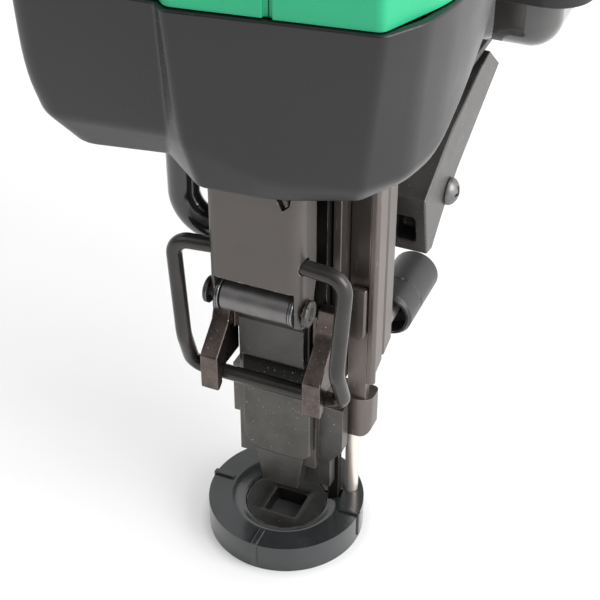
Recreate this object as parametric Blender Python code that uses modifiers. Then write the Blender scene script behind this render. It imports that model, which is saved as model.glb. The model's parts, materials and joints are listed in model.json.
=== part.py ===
"""Cordless coil roofing nailer, nose down, in metres with +Z up.

Lengths below are written in millimetres in the tool's own frame: the nails run down the line x = 0, y = 0,
+X is the right of someone who faces the nose, +Y is towards the battery, and the base ring stands on z = 0.
The frame empty then moves the tool so that the world origin is under the middle of its bounding box.
"""

import math

import bmesh
import bpy
from mathutils import Matrix, Vector

MM = 0.001
GAP = 0.3

# Overall reach of the tool along Y, measured from the nail line
FRONT_Y = -31.3
REAR_Y = 246.5

# Base ring and contact trip
RING_RADIUS = 23.0
RING_HEIGHT = 9.0
RIB_WIDTH = 1.3
FOOT_MOUTH, FOOT_BORE = 6.85, 5.0
ROD_AT = (16.8, 9.9)
ROD_RADIUS = 2.0
TRACK_X = (15.9, 21.9)
COLLAR_TOP = 47.5
ARM_TOP = 128.0

# Nose
TIP_Z = 16.8
GUIDE_BOTTOM = 30.0
GUIDE_TOP = 88.0
GUIDE_HALF = 10.1
GUIDE_FRONT = -6.5
NOSE_FRONT = -3.0
NOSE_TOP = 131.0
CHANNEL_HALF = 4.3

# Latch: the lever turns on the pin, the bail turns in the lever, the bar sits behind the hooks
PIN_Y, PIN_Z = -16.2, 90.5
BAIL_Y, BAIL_Z = -16.0, 104.5
BAR_Y, BAR_Z = -11.7, 60.2
WIRE_RADIUS = 2.1
BAIL_HALF = 23.8
LEVER_HALF = 13.0
LEVER_FRONT = -19.5
LEVER_TOP = 127.0
SHEET = 2.0
HOOK_INNER, HOOK_OUTER = 12.3, 17.4

# Drive
LIFTER_Y, LIFTER_Z = 14.0, 158.6
CYLINDER_RADIUS = 19.0
CYLINDER_BORE = 16.5
CYLINDER_BOTTOM = 175.3
CYLINDER_TOP = 259.0
BLADE_TIP = 76.5
PISTON_Z = (250.0, 255.0)

# Housing
WALL = 2.5
HOUSING_BACK = 40.0
COVER_Z = 174.0
HOUSING_TOP = 266.0
SEAM_X = 8.5

# Feed and canister
CHUTE_HALF = 9.0
CANISTER_AT = (-1.0, 109.0)
CANISTER_RADIUS = 47.5
CANISTER_BOTTOM = 126.0
CANISTER_TOP = 170.0
CANISTER_PIN_Y = 160.5
CORNER_FRONT, CORNER_RIGHT = 73.8, 48.4
RIM_FRONT, RIM_RIGHT = 67.6, 56.8
RIM_Z = (144.0, 147.6)
LATCH_AT = (59.0, 150.0)
FEEDER_AT = (19.5, 61.5)
ARM_FACE = 27.8
DOOR_PIN_AT = (-10.8, 18.4)

# Handle and battery
HANDLE_Y = (64.3, 178.0)
HANDLE_Z = (214.0, 251.0)
HANDLE_HALF = 14.5
TRIGGER_Y, TRIGGER_Z = 72.0, 221.0
FOOT_Y = (178.3, 192.0)
BATTERY_Z = (176.0, 264.0)
BATTERY_HALF = 37.0
HOOK_REACH = 57.0
HOOK_Y, HOOK_Z = 185.0, 246.0


# ---------------------------------------------------------------- scene, finishes and frame

for old in list(bpy.data.objects):
    bpy.data.objects.remove(old, do_unlink=True)

parts = bpy.data.collections.new("coil_roofing_nailer")
cutters = bpy.data.collections.new("cutters")
bpy.context.scene.collection.children.link(parts)
bpy.context.scene.collection.children.link(cutters)

frame = bpy.data.objects.new("tool_frame", None)
frame.location = (0.0, -(FRONT_Y + REAR_Y) / 2 * MM, 0.0)
parts.objects.link(frame)


def finish(name, colour, roughness, metallic=0.0):
    made = bpy.data.materials.new(name)
    made.use_nodes = True
    shader = made.node_tree.nodes["Principled BSDF"]
    shader.inputs["Base Color"].default_value = (*colour, 1.0)
    shader.inputs["Roughness"].default_value = roughness
    shader.inputs["Metallic"].default_value = metallic
    made.diffuse_color = (*colour, 1.0)
    return made


GUNMETAL = finish("gunmetal", (0.10, 0.09, 0.085), 0.45, 0.9)
LEVER_STEEL = finish("lever_steel", (0.16, 0.15, 0.14), 0.4, 0.8)
BROWN_STEEL = finish("brown_steel", (0.17, 0.13, 0.12), 0.45, 0.8)
BRIGHT_STEEL = finish("bright_steel", (0.62, 0.58, 0.52), 0.3, 1.0)
BLACK_WIRE = finish("black_wire", (0.02, 0.02, 0.02), 0.35, 0.6)
RUBBER = finish("rubber", (0.02, 0.022, 0.02), 0.7)
BLACK_PLASTIC = finish("black_plastic", (0.025, 0.025, 0.027), 0.45)
GREEN_PLASTIC = finish("green_plastic", (0.03, 0.42, 0.22), 0.35)
SMOKED_PLASTIC = finish("smoked_plastic", (0.04, 0.04, 0.045), 0.12)
ALUMINIUM = finish("aluminium", (0.6, 0.6, 0.6), 0.4, 1.0)


# ---------------------------------------------------------------- building blocks


def put(name, data, at, material):
    """Adds an object in the tool's frame. With no material it is a cutter, which no build or render shows."""
    obj = bpy.data.objects.new(name, data)
    obj.location = Vector(at) * MM
    obj.parent = frame
    if material is None:
        cutters.objects.link(obj)
        obj.hide_render = True
        obj.display_type = "WIRE"
        return obj
    parts.objects.link(obj)
    data.materials.append(material)
    return obj


def mesh_from(name, build):
    body = bmesh.new()
    build(body)
    mesh = bpy.data.meshes.new(name)
    body.to_mesh(mesh)
    body.free()
    return mesh


def round_edges(obj, width, segments=2, angle=30.0):
    rounding = obj.modifiers.new("rounded_edges", "BEVEL")
    rounding.width = width * MM
    rounding.segments = segments
    rounding.limit_method = "ANGLE"
    rounding.angle_limit = math.radians(angle)
    rounding.use_clamp_overlap = True
    return obj


def box(name, low, high, material=None, bevel=0.0, segments=2):
    low, high = Vector(low), Vector(high)

    def build(body):
        bmesh.ops.create_cube(body, size=1.0, matrix=Matrix.Diagonal((*((high - low) * MM), 1.0)))

    obj = put(name, mesh_from(name, build), (low + high) / 2, material)
    return round_edges(obj, bevel, segments) if bevel else obj


TURN = {"X": Matrix.Rotation(math.pi / 2, 4, "Y"), "Y": Matrix.Rotation(-math.pi / 2, 4, "X"), "Z": Matrix()}


def rod(name, axis, centre, radius, length, material=None, segments=24, bevel=0.0):
    """A round bar of the given length along X, Y or Z, placed by its middle."""

    def build(body):
        bmesh.ops.create_cone(
            body,
            cap_ends=True,
            segments=segments,
            radius1=radius * MM,
            radius2=radius * MM,
            depth=length * MM,
            matrix=TURN[axis],
        )

    obj = put(name, mesh_from(name, build), centre, material)
    obj.data.shade_smooth()
    obj.data.set_sharp_from_angle(angle=math.radians(40))
    return round_edges(obj, bevel, 2) if bevel else obj


def turned(name, axis, centre, profile, material=None, steps=48):
    """A turned piece. The profile is (radius, height) points, down the outer side; a ring's profile is closed."""
    is_ring = min(radius for radius, _ in profile) > 0
    mesh = bpy.data.meshes.new(name)
    count = len(profile)
    edges = [(i, (i + 1) % count) for i in range(count if is_ring else count - 1)]
    mesh.from_pydata([(radius * MM, 0.0, height * MM) for radius, height in profile], edges, [])
    obj = put(name, mesh, centre, material)
    obj.rotation_euler = TURN[axis].to_euler()
    spin = obj.modifiers.new("turned", "SCREW")
    spin.steps = steps
    spin.render_steps = steps
    spin.use_merge_vertices = True
    spin.merge_threshold = 0.00001
    spin.use_smooth_shade = True
    return obj


def fixed_mesh(obj):
    """Applies an object's modifiers, or turns a curve into a welded mesh."""
    bpy.context.view_layer.update()
    graph = bpy.context.evaluated_depsgraph_get()
    mesh = bpy.data.meshes.new_from_object(obj.evaluated_get(graph), depsgraph=graph)
    body = bmesh.new()
    body.from_mesh(mesh)
    bmesh.ops.remove_doubles(body, verts=body.verts, dist=0.000001)
    body.to_mesh(mesh)
    body.free()
    if obj.type == "MESH":
        obj.modifiers.clear()
        obj.data = mesh
    return mesh


PLANES = {
    "XY": Matrix(),
    "YZ": Matrix(((0, 0, 1, 0), (1, 0, 0, 0), (0, 1, 0, 0), (0, 0, 0, 1))),
    "XZ": Matrix(((1, 0, 0, 0), (0, 0, -1, 0), (0, 1, 0, 0), (0, 0, 0, 1))),
}
THROUGH = {"XY": (0, 0, 1), "YZ": (1, 0, 0), "XZ": (0, 1, 0)}


def plate(name, plane, outline, start, end, material=None, bevel=0.0, segments=2):
    """A flat outline in one of the frame's planes, filled and extruded from start to end across that plane."""
    curve = bpy.data.curves.new(name, "CURVE")
    curve.dimensions = "2D"
    curve.fill_mode = "BOTH"
    curve.extrude = (end - start) / 2 * MM
    line = curve.splines.new("POLY")
    line.points.add(len(outline) - 1)
    for point, (u, v) in zip(line.points, outline):
        point.co = (u * MM, v * MM, 0.0, 1.0)
    line.use_cyclic_u = True
    drawn = bpy.data.objects.new(name + "_outline", curve)
    bpy.context.scene.collection.objects.link(drawn)
    mesh = fixed_mesh(drawn)
    bpy.data.objects.remove(drawn)
    mesh.transform(PLANES[plane])
    mesh.name = name
    obj = put(name, mesh, Vector(THROUGH[plane]) * (start + end) / 2, material)
    return round_edges(obj, bevel, segments) if bevel else obj


def loft(name, rings, material=None, hub=None):
    """A closed skin over rings of (x, y, z) points, first to last. The first cap meets at a hub if one is given."""

    def build(body):
        made = [[body.verts.new(Vector(point) * MM) for point in ring] for ring in rings]
        for lower, upper in zip(made, made[1:]):
            for i in range(len(lower)):
                j = (i + 1) % len(lower)
                body.faces.new((lower[i], lower[j], upper[j], upper[i]))
        body.faces.new(made[-1])
        if hub is None:
            body.faces.new(list(reversed(made[0])))
        else:
            middle = body.verts.new(Vector(hub) * MM)
            for i in range(len(made[0])):
                body.faces.new((made[0][(i + 1) % len(made[0])], made[0][i], middle))
        bmesh.ops.recalc_face_normals(body, faces=body.faces)

    return put(name, mesh_from(name, build), (0, 0, 0), material)


def wire(name, points, radius, material, smooth_sides=2):
    """A round wire or tube along a polyline, with closed ends. It stays a curve."""
    curve = bpy.data.curves.new(name, "CURVE")
    curve.dimensions = "3D"
    curve.bevel_depth = radius * MM
    curve.bevel_resolution = smooth_sides
    curve.use_fill_caps = True
    line = curve.splines.new("POLY")
    line.points.add(len(points) - 1)
    for point, at in zip(line.points, points):
        point.co = (*(Vector(at) * MM), 1.0)
    return put(name, curve, (0, 0, 0), material)


def combine(obj, operation, others):
    for other in others:
        step = obj.modifiers.new(other.name, "BOOLEAN")
        step.operation = operation
        step.solver = "EXACT"
        step.object = other
    return obj


def cut(obj, *others):
    return combine(obj, "DIFFERENCE", others)


def join(obj, *others):
    return combine(obj, "UNION", others)


def arc(centre, radius, start, end, steps):
    """Points on an arc, in degrees."""
    turn = [math.radians(start + (end - start) * k / steps) for k in range(steps + 1)]
    return [(centre[0] + radius * math.cos(a), centre[1] + radius * math.sin(a)) for a in turn]


def rounded_path(corners, radii, steps=4):
    """A polyline whose inner corners are replaced by arcs of the given radii."""
    corners = [Vector(corner) for corner in corners]
    path = [corners[0]]
    for before, corner, after, radius in zip(corners, corners[1:], corners[2:], radii):
        back = (before - corner).normalized()
        ahead = (after - corner).normalized()
        half = back.angle(ahead) / 2
        reach = radius / math.tan(half)
        middle = corner + (back + ahead).normalized() * radius / math.sin(half)
        first = corner + back * reach - middle
        last = corner + ahead * reach - middle
        path += [middle + first.slerp(last, k / steps) * radius for k in range(steps + 1)]
    return path + [corners[-1]]


def inset(ring, distance, lift=0.0):
    """Moves a ring's plan outline inwards by a distance, and its points up by lift."""
    flat = [Vector(point[:2]) for point in ring]
    count = len(flat)
    turn = sum(flat[i].x * flat[(i + 1) % count].y - flat[(i + 1) % count].x * flat[i].y for i in range(count))
    side = 1.0 if turn > 0 else -1.0
    moved = []
    for i, corner in enumerate(flat):
        one = (corner - flat[i - 1]).normalized()
        two = (flat[(i + 1) % count] - corner).normalized()
        normal_one = Vector((-one.y, one.x)) * side
        normal_two = Vector((-two.y, two.x)) * side
        mitre = (normal_one + normal_two).normalized()
        spot = corner + mitre * distance / max(mitre.dot(normal_one), 0.5)
        moved.append((spot.x, spot.y, ring[i][2] + lift))
    return moved


def scaled(ring, factor, height, middle=(-6.0, 4.0)):
    return [(middle[0] + (x - middle[0]) * factor, middle[1] + (y - middle[1]) * factor, height) for x, y, _ in ring]


def pivot(name, at):
    """An empty on a joint's axis, which the moving pieces hang from."""
    axis = bpy.data.objects.new(name, None)
    axis.location = Vector(at) * MM
    axis.parent = frame
    parts.objects.link(axis)
    return axis


def hang(axis, *pieces):
    for piece in pieces:
        piece.parent = axis
        piece.location = piece.location - axis.location


def halves(whole, left_name, right_name, seam_x):
    """Cuts a piece down the plane x = seam_x into two shells with a gap between them."""
    fixed_mesh(whole)
    reach = 200.0
    for name, low_x, high_x in (
        (left_name, seam_x - GAP / 2, seam_x + reach),
        (right_name, seam_x - reach, seam_x + GAP / 2),
    ):
        shell = put(name, whole.data.copy(), whole.location / MM, whole.data.materials[0])
        shell.data.materials.pop()
        cut(shell, box(name + "_side", (low_x, -reach, -reach), (high_x, 2 * reach, 2 * reach)))
    bpy.data.objects.remove(whole)


# ---------------------------------------------------------------- base ring and contact trip


def base_ring():
    profile = [
        (RING_RADIUS - 0.7, RING_HEIGHT),
        (RING_RADIUS, RING_HEIGHT - 0.7),
        (RING_RADIUS, 0.6),
        (RING_RADIUS - 0.6, 0.0),
        (8.9, 0.0),
        (8.9, 4.4),
        (12.1, 4.4),
        (12.1, 6.6),
        (15.4, 6.9),
        (16.2, RING_HEIGHT),
    ]
    ring = turned("base_ring", "Z", (0, 0, 0), profile, RUBBER, steps=56)
    ribs = []
    for name, (x, y) in {"right": (1, 0), "back": (0, 1), "left": (-1, 0), "front": (0, -1)}.items():
        inner, outer = 17.0, RING_RADIUS + 0.5
        low = (min(x * inner, x * outer) - abs(y) * RIB_WIDTH / 2, min(y * inner, y * outer) - abs(x) * RIB_WIDTH / 2)
        high = (max(x * inner, x * outer) + abs(y) * RIB_WIDTH / 2, max(y * inner, y * outer) + abs(x) * RIB_WIDTH / 2)
        ribs.append(box("rib_" + name, (*low, 1.2), (*high, RING_HEIGHT + 0.5)))
    join(ring, *ribs)
    pocket = box("foot_pocket", (7.0, 4.9, 4.45), (15.2, 7.9, 12.0))
    socket = rod("rod_socket", "Z", (*ROD_AT, 7.0), ROD_RADIUS + GAP, 8.0)
    return cut(ring, pocket, socket)


def contact_foot():
    top = 6.3
    profile = [(0, top), (11.8, top), (11.8, 4.7), (8.6, 4.7), (8.6, 0.5), (0, 0.5)]
    foot = turned("contact_foot", "Z", (0, 0, 0), profile, BROWN_STEEL, steps=40)
    tab = box("foot_tab", (9.0, 5.3, 4.75), (14.4, 7.5, 6.25))
    post = box("foot_post", (11.2, 5.3, 4.75), (14.4, 7.5, 33.0))
    square = [(-1, -1), (1, -1), (1, 1), (-1, 1)]
    steps = ((FOOT_BORE, -2.0), (FOOT_BORE, top - 1.0), (FOOT_MOUTH, top), (FOOT_MOUTH, top + 2.0))
    bore = loft("foot_bore", [[(x * half, y * half, z) for x, y in square] for half, z in steps])
    return cut(join(foot, tab, post), bore)


def contact_arm():
    corner = 3.2
    collar_bottom = 34.0
    outline = [(12.6, COLLAR_TOP), (23.4, COLLAR_TOP)]
    outline += list(reversed(arc((23.4 - corner, collar_bottom + corner), corner, -90, 0, 4)))
    outline += list(reversed(arc((12.6 + corner, collar_bottom + corner), corner, 180, 270, 4)))
    arm = plate("contact_arm", "XZ", outline, 5.4, 13.2, GUNMETAL, bevel=0.5)
    strip = box("arm_strip", (TRACK_X[0] + GAP, 6.3, COLLAR_TOP - 4), (TRACK_X[1] - GAP, 9.3, ARM_TOP))
    boss_width = TRACK_X[1] - GAP - 17.2
    boss = [(17.2, 86.0), (TRACK_X[1] - GAP, 86.0)]
    boss += list(reversed(arc((17.2 + boss_width / 2, 71.5), boss_width / 2, 180, 360, 6)))
    lug = plate("arm_boss", "XZ", boss, 4.2, 6.6)
    hollow = rod("arm_rod_hole", "Z", (*ROD_AT, 36.0), ROD_RADIUS + GAP, 12.0)
    clear = box("arm_post_slot", (10.9, 5.0, 30.0), (14.7, 7.8, 38.0))
    return cut(join(arm, strip, lug), hollow, clear)


def contact_rod():
    return rod("contact_rod", "Z", (*ROD_AT, 22.5), ROD_RADIUS, 38.4, BRIGHT_STEEL, 20, bevel=0.3)


def contact_spring():
    turns, samples = 6, 10
    low, high, radius = ARM_TOP + 0.8, 143.0, 3.1
    points = []
    for k in range(turns * samples + 1):
        turn = 2 * math.pi * k / samples
        height = low + (high - low) * k / (turns * samples)
        points.append((18.4 + radius * math.cos(turn), 8.6 + radius * math.sin(turn), height))
    return wire("contact_spring", points, 0.45, BRIGHT_STEEL, 1)


# ---------------------------------------------------------------- nose


def nose_body():
    nose = box("nose_body", (-12.5, NOSE_FRONT, 55.0), (13.3, 16.0, NOSE_TOP), GUNMETAL, bevel=0.5)
    middle = box("nose_middle", (-14.8, NOSE_FRONT + 0.2, 39.0), (10.5, 12.0, 56.0))
    lower = box("nose_lower", (-13.0, NOSE_FRONT + 0.1, 25.0), (10.4, 11.8, 40.0))
    flange_outline = [(9.0, 47.0), (17.6, 47.0), (17.6, 32.0), (14.2, 27.2), (9.0, 27.2)]
    flange = plate("nose_flange", "XZ", flange_outline, -0.5, 3.5)
    wing = box("nose_wing", (4.9, 1.0, 15.6), (13.4, 4.8, 26.3))
    tip_rings = [
        [(-5.3, -4.5, TIP_Z), (5.3, -4.5, TIP_Z), (5.3, 5.2, TIP_Z), (-5.3, 5.2, TIP_Z)],
        [(-7.0, -4.5, 26.9), (7.0, -4.5, 26.9), (7.0, 6.0, 26.9), (-7.0, 6.0, 26.9)],
        [(-7.4, -4.5, 29.6), (7.4, -4.5, 29.6), (7.4, 6.0, 29.6), (-7.4, 6.0, 29.6)],
    ]
    tip = loft("nose_tip", tip_rings)
    join(nose, middle, lower, flange, wing, tip)
    channel = box("driver_channel", (-CHANNEL_HALF, -8.0, GUIDE_BOTTOM - 0.5), (CHANNEL_HALF, 4.3, 135.0))
    exit_hole = box("nail_exit", (-3.9, -3.3, 10.0), (3.9, 3.9, 33.0))
    feed_slot = box("nose_feed_slot", (-CHANNEL_HALF + 0.1, 3.0, 42.0), (CHANNEL_HALF - 0.1, 20.0, 75.5))
    return cut(nose, channel, exit_hole, feed_slot)


def front_guide():
    outline = [
        (-GUIDE_HALF, GUIDE_TOP),
        (-GUIDE_HALF, 35.0),
        (-8.3, 31.4),
        (-6.0, GUIDE_BOTTOM),
        (8.2, GUIDE_BOTTOM),
        (GUIDE_HALF, 32.0),
        (GUIDE_HALF, GUIDE_TOP),
    ]
    return plate("front_guide", "XZ", outline, GUIDE_FRONT, NOSE_FRONT - GAP, GUNMETAL, bevel=0.5)


def latch_hook(name, side):
    outline = [
        (-17.3, 57.6),
        (-17.3, 68.2),
        (-9.6, 75.2),
        (-8.2, 79.0),
        (-6.6, 85.0),
        (NOSE_FRONT - GAP, 85.0),
        (NOSE_FRONT - GAP, 62.9),
        (-12.6, 62.9),
        (-14.2, 61.4),
        (-14.2, 58.4),
        (-16.4, 56.9),
    ]
    ends = sorted((side * HOOK_INNER, side * HOOK_OUTER))
    hook = plate(name, "YZ", outline, ends[0], ends[1], BROWN_STEEL, bevel=0.45)
    near, far = sorted((side * (GUIDE_HALF + GAP), side * (HOOK_INNER + 1.0)))
    return join(hook, box(name + "_root", (near, -7.8, 67.0), (far, NOSE_FRONT - GAP - 0.1, 84.4)))


def latch_bracket():
    outline = [(-16.4, 87.6), (-9.0, 78.0), (-9.0, 66.0), (-8.2, 65.0), (-6.8, 65.0), (-6.8, 81.0), (-14.0, 92.6)]
    bracket = plate("latch_bracket", "YZ", outline, -9.3, 9.3, GUNMETAL, bevel=0.3)
    barrel = rod("bracket_barrel", "X", (0, PIN_Y, PIN_Z), 4.1, 19.2)
    bore = rod("bracket_bore", "X", (0, PIN_Y, PIN_Z), 2.0, 40.0)
    return cut(join(bracket, barrel), bore)


def latch_pin():
    end, head = 14.5, 3.6
    profile = [(0, end), (head, end), (head, 13.3), (1.7, 13.3), (1.7, -13.3), (head, -13.3), (head, -end), (0, -end)]
    return turned("latch_pin", "X", (0, PIN_Y, PIN_Z), profile, GUNMETAL, steps=20)


def latch_washer(name, side):
    low, high = sorted((side * 9.75, side * 10.75))
    profile = [(4.4, high), (4.4, low), (2.0, low), (2.0, high)]
    return turned(name, "X", (0, PIN_Y, PIN_Z), profile, BRIGHT_STEEL, steps=24)


def latch_lever():
    ear = 4.6
    outline = [(-9.5, LEVER_TOP), (LEVER_FRONT, LEVER_TOP), (LEVER_FRONT, 98.0)]
    outline += arc((PIN_Y, PIN_Z), ear, 165, 345, 10)
    outline += [(-9.5, 97.0)]
    lever = plate("latch_lever", "YZ", outline, -LEVER_HALF, LEVER_HALF, LEVER_STEEL, bevel=1.3, segments=3)
    inner = LEVER_HALF - SHEET
    channel = box("lever_channel", (-inner, LEVER_FRONT + SHEET, 80.0), (inner, 0.0, 140.0))
    window = box("lever_window", (-inner, -30.0, 80.0), (inner, 0.0, 97.3))
    pin_hole = rod("lever_pin_hole", "X", (0, PIN_Y, PIN_Z), 2.0, 40.0)
    bail_hole = rod("lever_bail_hole", "X", (0, BAIL_Y, BAIL_Z), WIRE_RADIUS + GAP, 40.0)
    notch = plate("lever_notch", "XZ", [(4.0, 130.0), (11.5, 130.0), (10.0, 123.0), (8.2, 121.4)], -25.0, -15.0)
    return cut(lever, channel, window, pin_hole, bail_hole, notch)


def wire_bail():
    side = [
        (10.6, BAIL_Y, BAIL_Z),
        (BAIL_HALF, BAIL_Y - 0.5, BAIL_Z - 0.8),
        (BAIL_HALF - 1.9, -17.0, 74.0),
        (BAIL_HALF - 1.4, BAR_Y, BAR_Z),
    ]
    corners = side + [(-x, y, z) for x, y, z in reversed(side)]
    path = rounded_path(corners, (4.6, 12.0, 4.2, 4.2, 12.0, 4.6), 5)
    return wire("wire_bail", path, WIRE_RADIUS, BLACK_WIRE, 2)


def side_rail():
    outline = [
        (13.6, 0.0),
        (TRACK_X[0], 0.0),
        (TRACK_X[0], 9.6),
        (TRACK_X[1], 9.6),
        (TRACK_X[1], 5.2),
        (23.4, 5.2),
        (24.2, 6.0),
        (24.2, 11.2),
        (23.7, 11.6),
        (23.7, 12.4),
        (24.2, 12.8),
        (24.2, 18.4),
        (13.6, 18.4),
    ]
    rail = plate("side_rail", "XY", outline, 54.0, 126.0, BROWN_STEEL)
    foot = plate("rail_foot", "YZ", [(7.0, 50.0), (7.0, 57.5), (19.0, 62.0), (19.0, 50.0)], 21.4, 30.0)
    return cut(rail, foot)


def lead_guard():
    path = rounded_path([(-26, -5, 141), (-26, -5, 102.5), (-12.9, -5, 102.5)], (9.0,), 8)
    return wire("lead_guard", path, 4.2, BLACK_PLASTIC, 3)


# ---------------------------------------------------------------- feed


def feed_chute():
    outline = [(17.9, 40.0), (17.9, 78.0), (60.6, 167.0), (60.6, 127.0), (30.0, 52.0)]
    chute = plate("feed_chute", "YZ", outline, -CHUTE_HALF, CHUTE_HALF, GUNMETAL, bevel=0.5)
    tunnel_outline = [(10.0, 44.0), (10.0, 60.0), (17.0, 72.0), (66.0, 173.0), (66.0, 145.5), (27.0, 56.0), (15.0, 44.0)]
    tunnel = plate("chute_tunnel", "YZ", tunnel_outline, -4.8, 4.8)
    window = plate("chute_window", "YZ", [(23, 54), (23, 74), (42, 112), (42, 96), (31, 70)], -12.0, -3.0)
    slot = box("pawl_slot", (3.0, 18.2, 57.0), (12.0, 28.4, 66.0))
    return cut(chute, tunnel, window, slot)


def feed_door():
    outline = [(20.0, 46.0), (20.0, 80.0), (44.0, 130.0), (44.0, 91.0), (31.0, 59.0)]
    return plate("feed_door", "YZ", outline, -11.6, -CHUTE_HALF - GAP, GUNMETAL, bevel=0.4)


def feed_door_pin():
    return rod("feed_door_pin", "Z", (*DOOR_PIN_AT, 63.0), 1.2, 38.0, BRIGHT_STEEL, 16)


def feeder_cylinder():
    x, z = FEEDER_AT
    profile = [(0, 53.0), (5.6, 53.0), (7.0, 51.0), (7.0, 28.0), (5.6, 28.0), (5.2, 33.0), (2.8, 33.2), (2.8, 47.0), (0, 47.0)]
    cylinder = turned("feeder_cylinder", "Y", (x, 0, z), profile, RUBBER, steps=32)
    lug = box("feeder_lug", (CHUTE_HALF + GAP, 37.0, 57.0), (15.0, 47.0, 66.0))
    return join(cylinder, lug)


def feeder_rod():
    x, z = FEEDER_AT
    shaft = rod("feeder_rod", "Y", (x, 27.0, z), 2.2, 14.0, BRIGHT_STEEL, 20)
    arm = box("pawl_arm", (1.0, 18.6, 57.6), (22.0, 21.7, 65.4))
    return join(shaft, arm)


def bracket_arm():
    outline = [
        (31.0, 99.7),
        (52.2, 110.9),
        (76.0, 118.8),
        (84.9, 120.4),
        (96.4, 111.4),
        (60.0, 94.6),
        (48.1, 86.5),
        (39.8, 79.4),
        (35.4, 80.1),
    ]
    arm = plate("bracket_arm", "YZ", outline, 14.0, ARM_FACE, GUNMETAL, bevel=0.4)
    lug = box("arm_lug", (CHUTE_HALF + GAP, 39.0, 92.0), (15.0, 52.0, 106.0))
    window = box("arm_window", (18.0, 20.0, 84.0), (24.5, 42.0, 93.0))
    return cut(join(arm, lug), window)


def arm_screw():
    profile = [(0, 2.9), (2.2, 2.7), (3.6, 1.6), (4.1, 0.0), (0, 0.0)]
    screw = turned("arm_screw", "X", (ARM_FACE + GAP, 52.0, 91.6), profile, GUNMETAL, steps=24)
    slot_one = box("arm_screw_slot", (ARM_FACE + 2.0, 49.8, 91.1), (ARM_FACE + 5.0, 54.2, 92.1))
    slot_two = box("arm_screw_cross", (ARM_FACE + 2.0, 51.5, 89.4), (ARM_FACE + 5.0, 52.5, 93.8))
    return cut(screw, slot_one, slot_two)


def canister_bracket():
    bracket = box("canister_bracket", (-26.0, 66.0, 120.8), (26.5, 92.0, 123.2), GUNMETAL, bevel=0.4)
    return join(bracket, box("bracket_riser", (-26.0, 70.0, 122.5), (-4.0, 90.0, CANISTER_BOTTOM - GAP)))


# ---------------------------------------------------------------- canister


def corner_outline(left, front, right, back, corner):
    """A plan outline with its front right corner rounded."""
    turn = arc((right - corner, front + corner), corner, -90, 0, 6)
    return [(left, back), (left, front)] + turn + [(right, back)]


def canister_bowl(name, wall, material=None):
    """A round drum with a squared front right corner, as a solid a wall's thickness inside the outer surface."""
    x, y = CANISTER_AT
    above = CANISTER_TOP + 20.0
    radius, corner, bottom = CANISTER_RADIUS - wall, 9.0 - wall, CANISTER_BOTTOM + wall
    turn = list(reversed(arc((radius - corner, bottom + corner), corner, -90, 0, 4)))
    drum = turned(name, "Z", (x, y, 0), [(0, above), (radius, above)] + turn + [(0, bottom)], material, steps=56)
    low = (x + 4.0, CORNER_FRONT + wall, bottom)
    high = (CORNER_RIGHT - wall, y + 8.0 - wall, above - 1.0)
    return join(drum, box(name + "_corner", low, high, bevel=corner, segments=4))


def canister_drum():
    """The whole drum with its rim, before it is cut into the fixed half and the swinging cover."""
    x, y = CANISTER_AT
    drum = canister_bowl("drum", 0.0, SMOKED_PLASTIC)
    rim = plate("drum_rim", "XY", corner_outline(22.0, RIM_FRONT, RIM_RIGHT, y + 6.0, 12.0), *RIM_Z)
    hollow = canister_bowl("drum_hollow", WALL)
    above = box("drum_above", (x - 70, y - 70, CANISTER_TOP), (x + 70, y + 70, CANISTER_TOP + 40))
    mouth = box("drum_mouth", (x - 5.5, y - 60, CANISTER_BOTTOM + 3), (x + 5.5, y - 40, CANISTER_TOP + 5))
    return cut(join(drum, rim), hollow, above, mouth)


def canister_halves():
    x = CANISTER_AT[0]
    halves(canister_drum(), "canister_base", "canister_cover", x)
    bore = rod("hinge_bore", "Z", (x, CANISTER_PIN_Y, 150.0), 2.3, 60.0)
    cover = bpy.data.objects["canister_cover"]
    knuckle = rod("cover_knuckle", "Z", (x, CANISTER_PIN_Y, 150.0), 3.8, 16.0)
    arm = box("cover_knuckle_arm", (x + 0.6, 155.0, 142.5), (x + 5.0, 160.5, 157.5))
    guide = box("cover_latch_guide", (12.0, 61.0, 152.5), (18.0, 66.5, 162.0))
    cut(join(cover, knuckle, arm, guide), bore)
    base = bpy.data.objects["canister_base"]
    for name, height in (("low_knuckle", 138.8), ("high_knuckle", 161.2)):
        fixed = rod(name, "Z", (x, CANISTER_PIN_Y, height), 3.8, 5.6)
        strap = box(name + "_arm", (x - 5.0, 155.0, height - 2.4), (x - 0.6, 160.5, height + 2.4))
        join(base, fixed, strap)
    cut(base, bore)


def canister_lid():
    x, y = CANISTER_AT
    profile = [(0, 176.0), (46.0, 176.0), (49.0, 174.5), (49.4, 172.8), (49.0, 170.9), (48.0, 170.3), (0, 170.3)]
    lid = turned("canister_lid", "Z", (x, y, 0), profile, BLACK_PLASTIC, steps=56)
    outline = corner_outline(x + 4.0, CORNER_FRONT - 1.9, CORNER_RIGHT + 1.9, y + 8.0, 10.0)
    corner = plate("lid_corner", "XY", outline, 170.3, 175.4)
    tab = box("lid_tab", (-18.0, 46.0, 171.0), (18.0, 70.0, 177.2))
    ear = box("lid_ear", (x - 4.5, 150.0, 171.0), (x + 4.5, 165.0, 175.4))
    return join(lid, corner, tab, ear)


def canister_hinge_pin():
    return rod("canister_hinge_pin", "Z", (CANISTER_AT[0], CANISTER_PIN_Y, 153.5), 2.0, 34.0, BRIGHT_STEEL, 20)


def canister_latch():
    return box("canister_latch", (11.0, 57.0, 148.0), (19.0, 60.7, 169.6), BLACK_PLASTIC, bevel=0.8)


def platform_post():
    return rod("platform_post", "Z", (*CANISTER_AT, 150.6), 5.0, 38.8, ALUMINIUM, 24)


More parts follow.
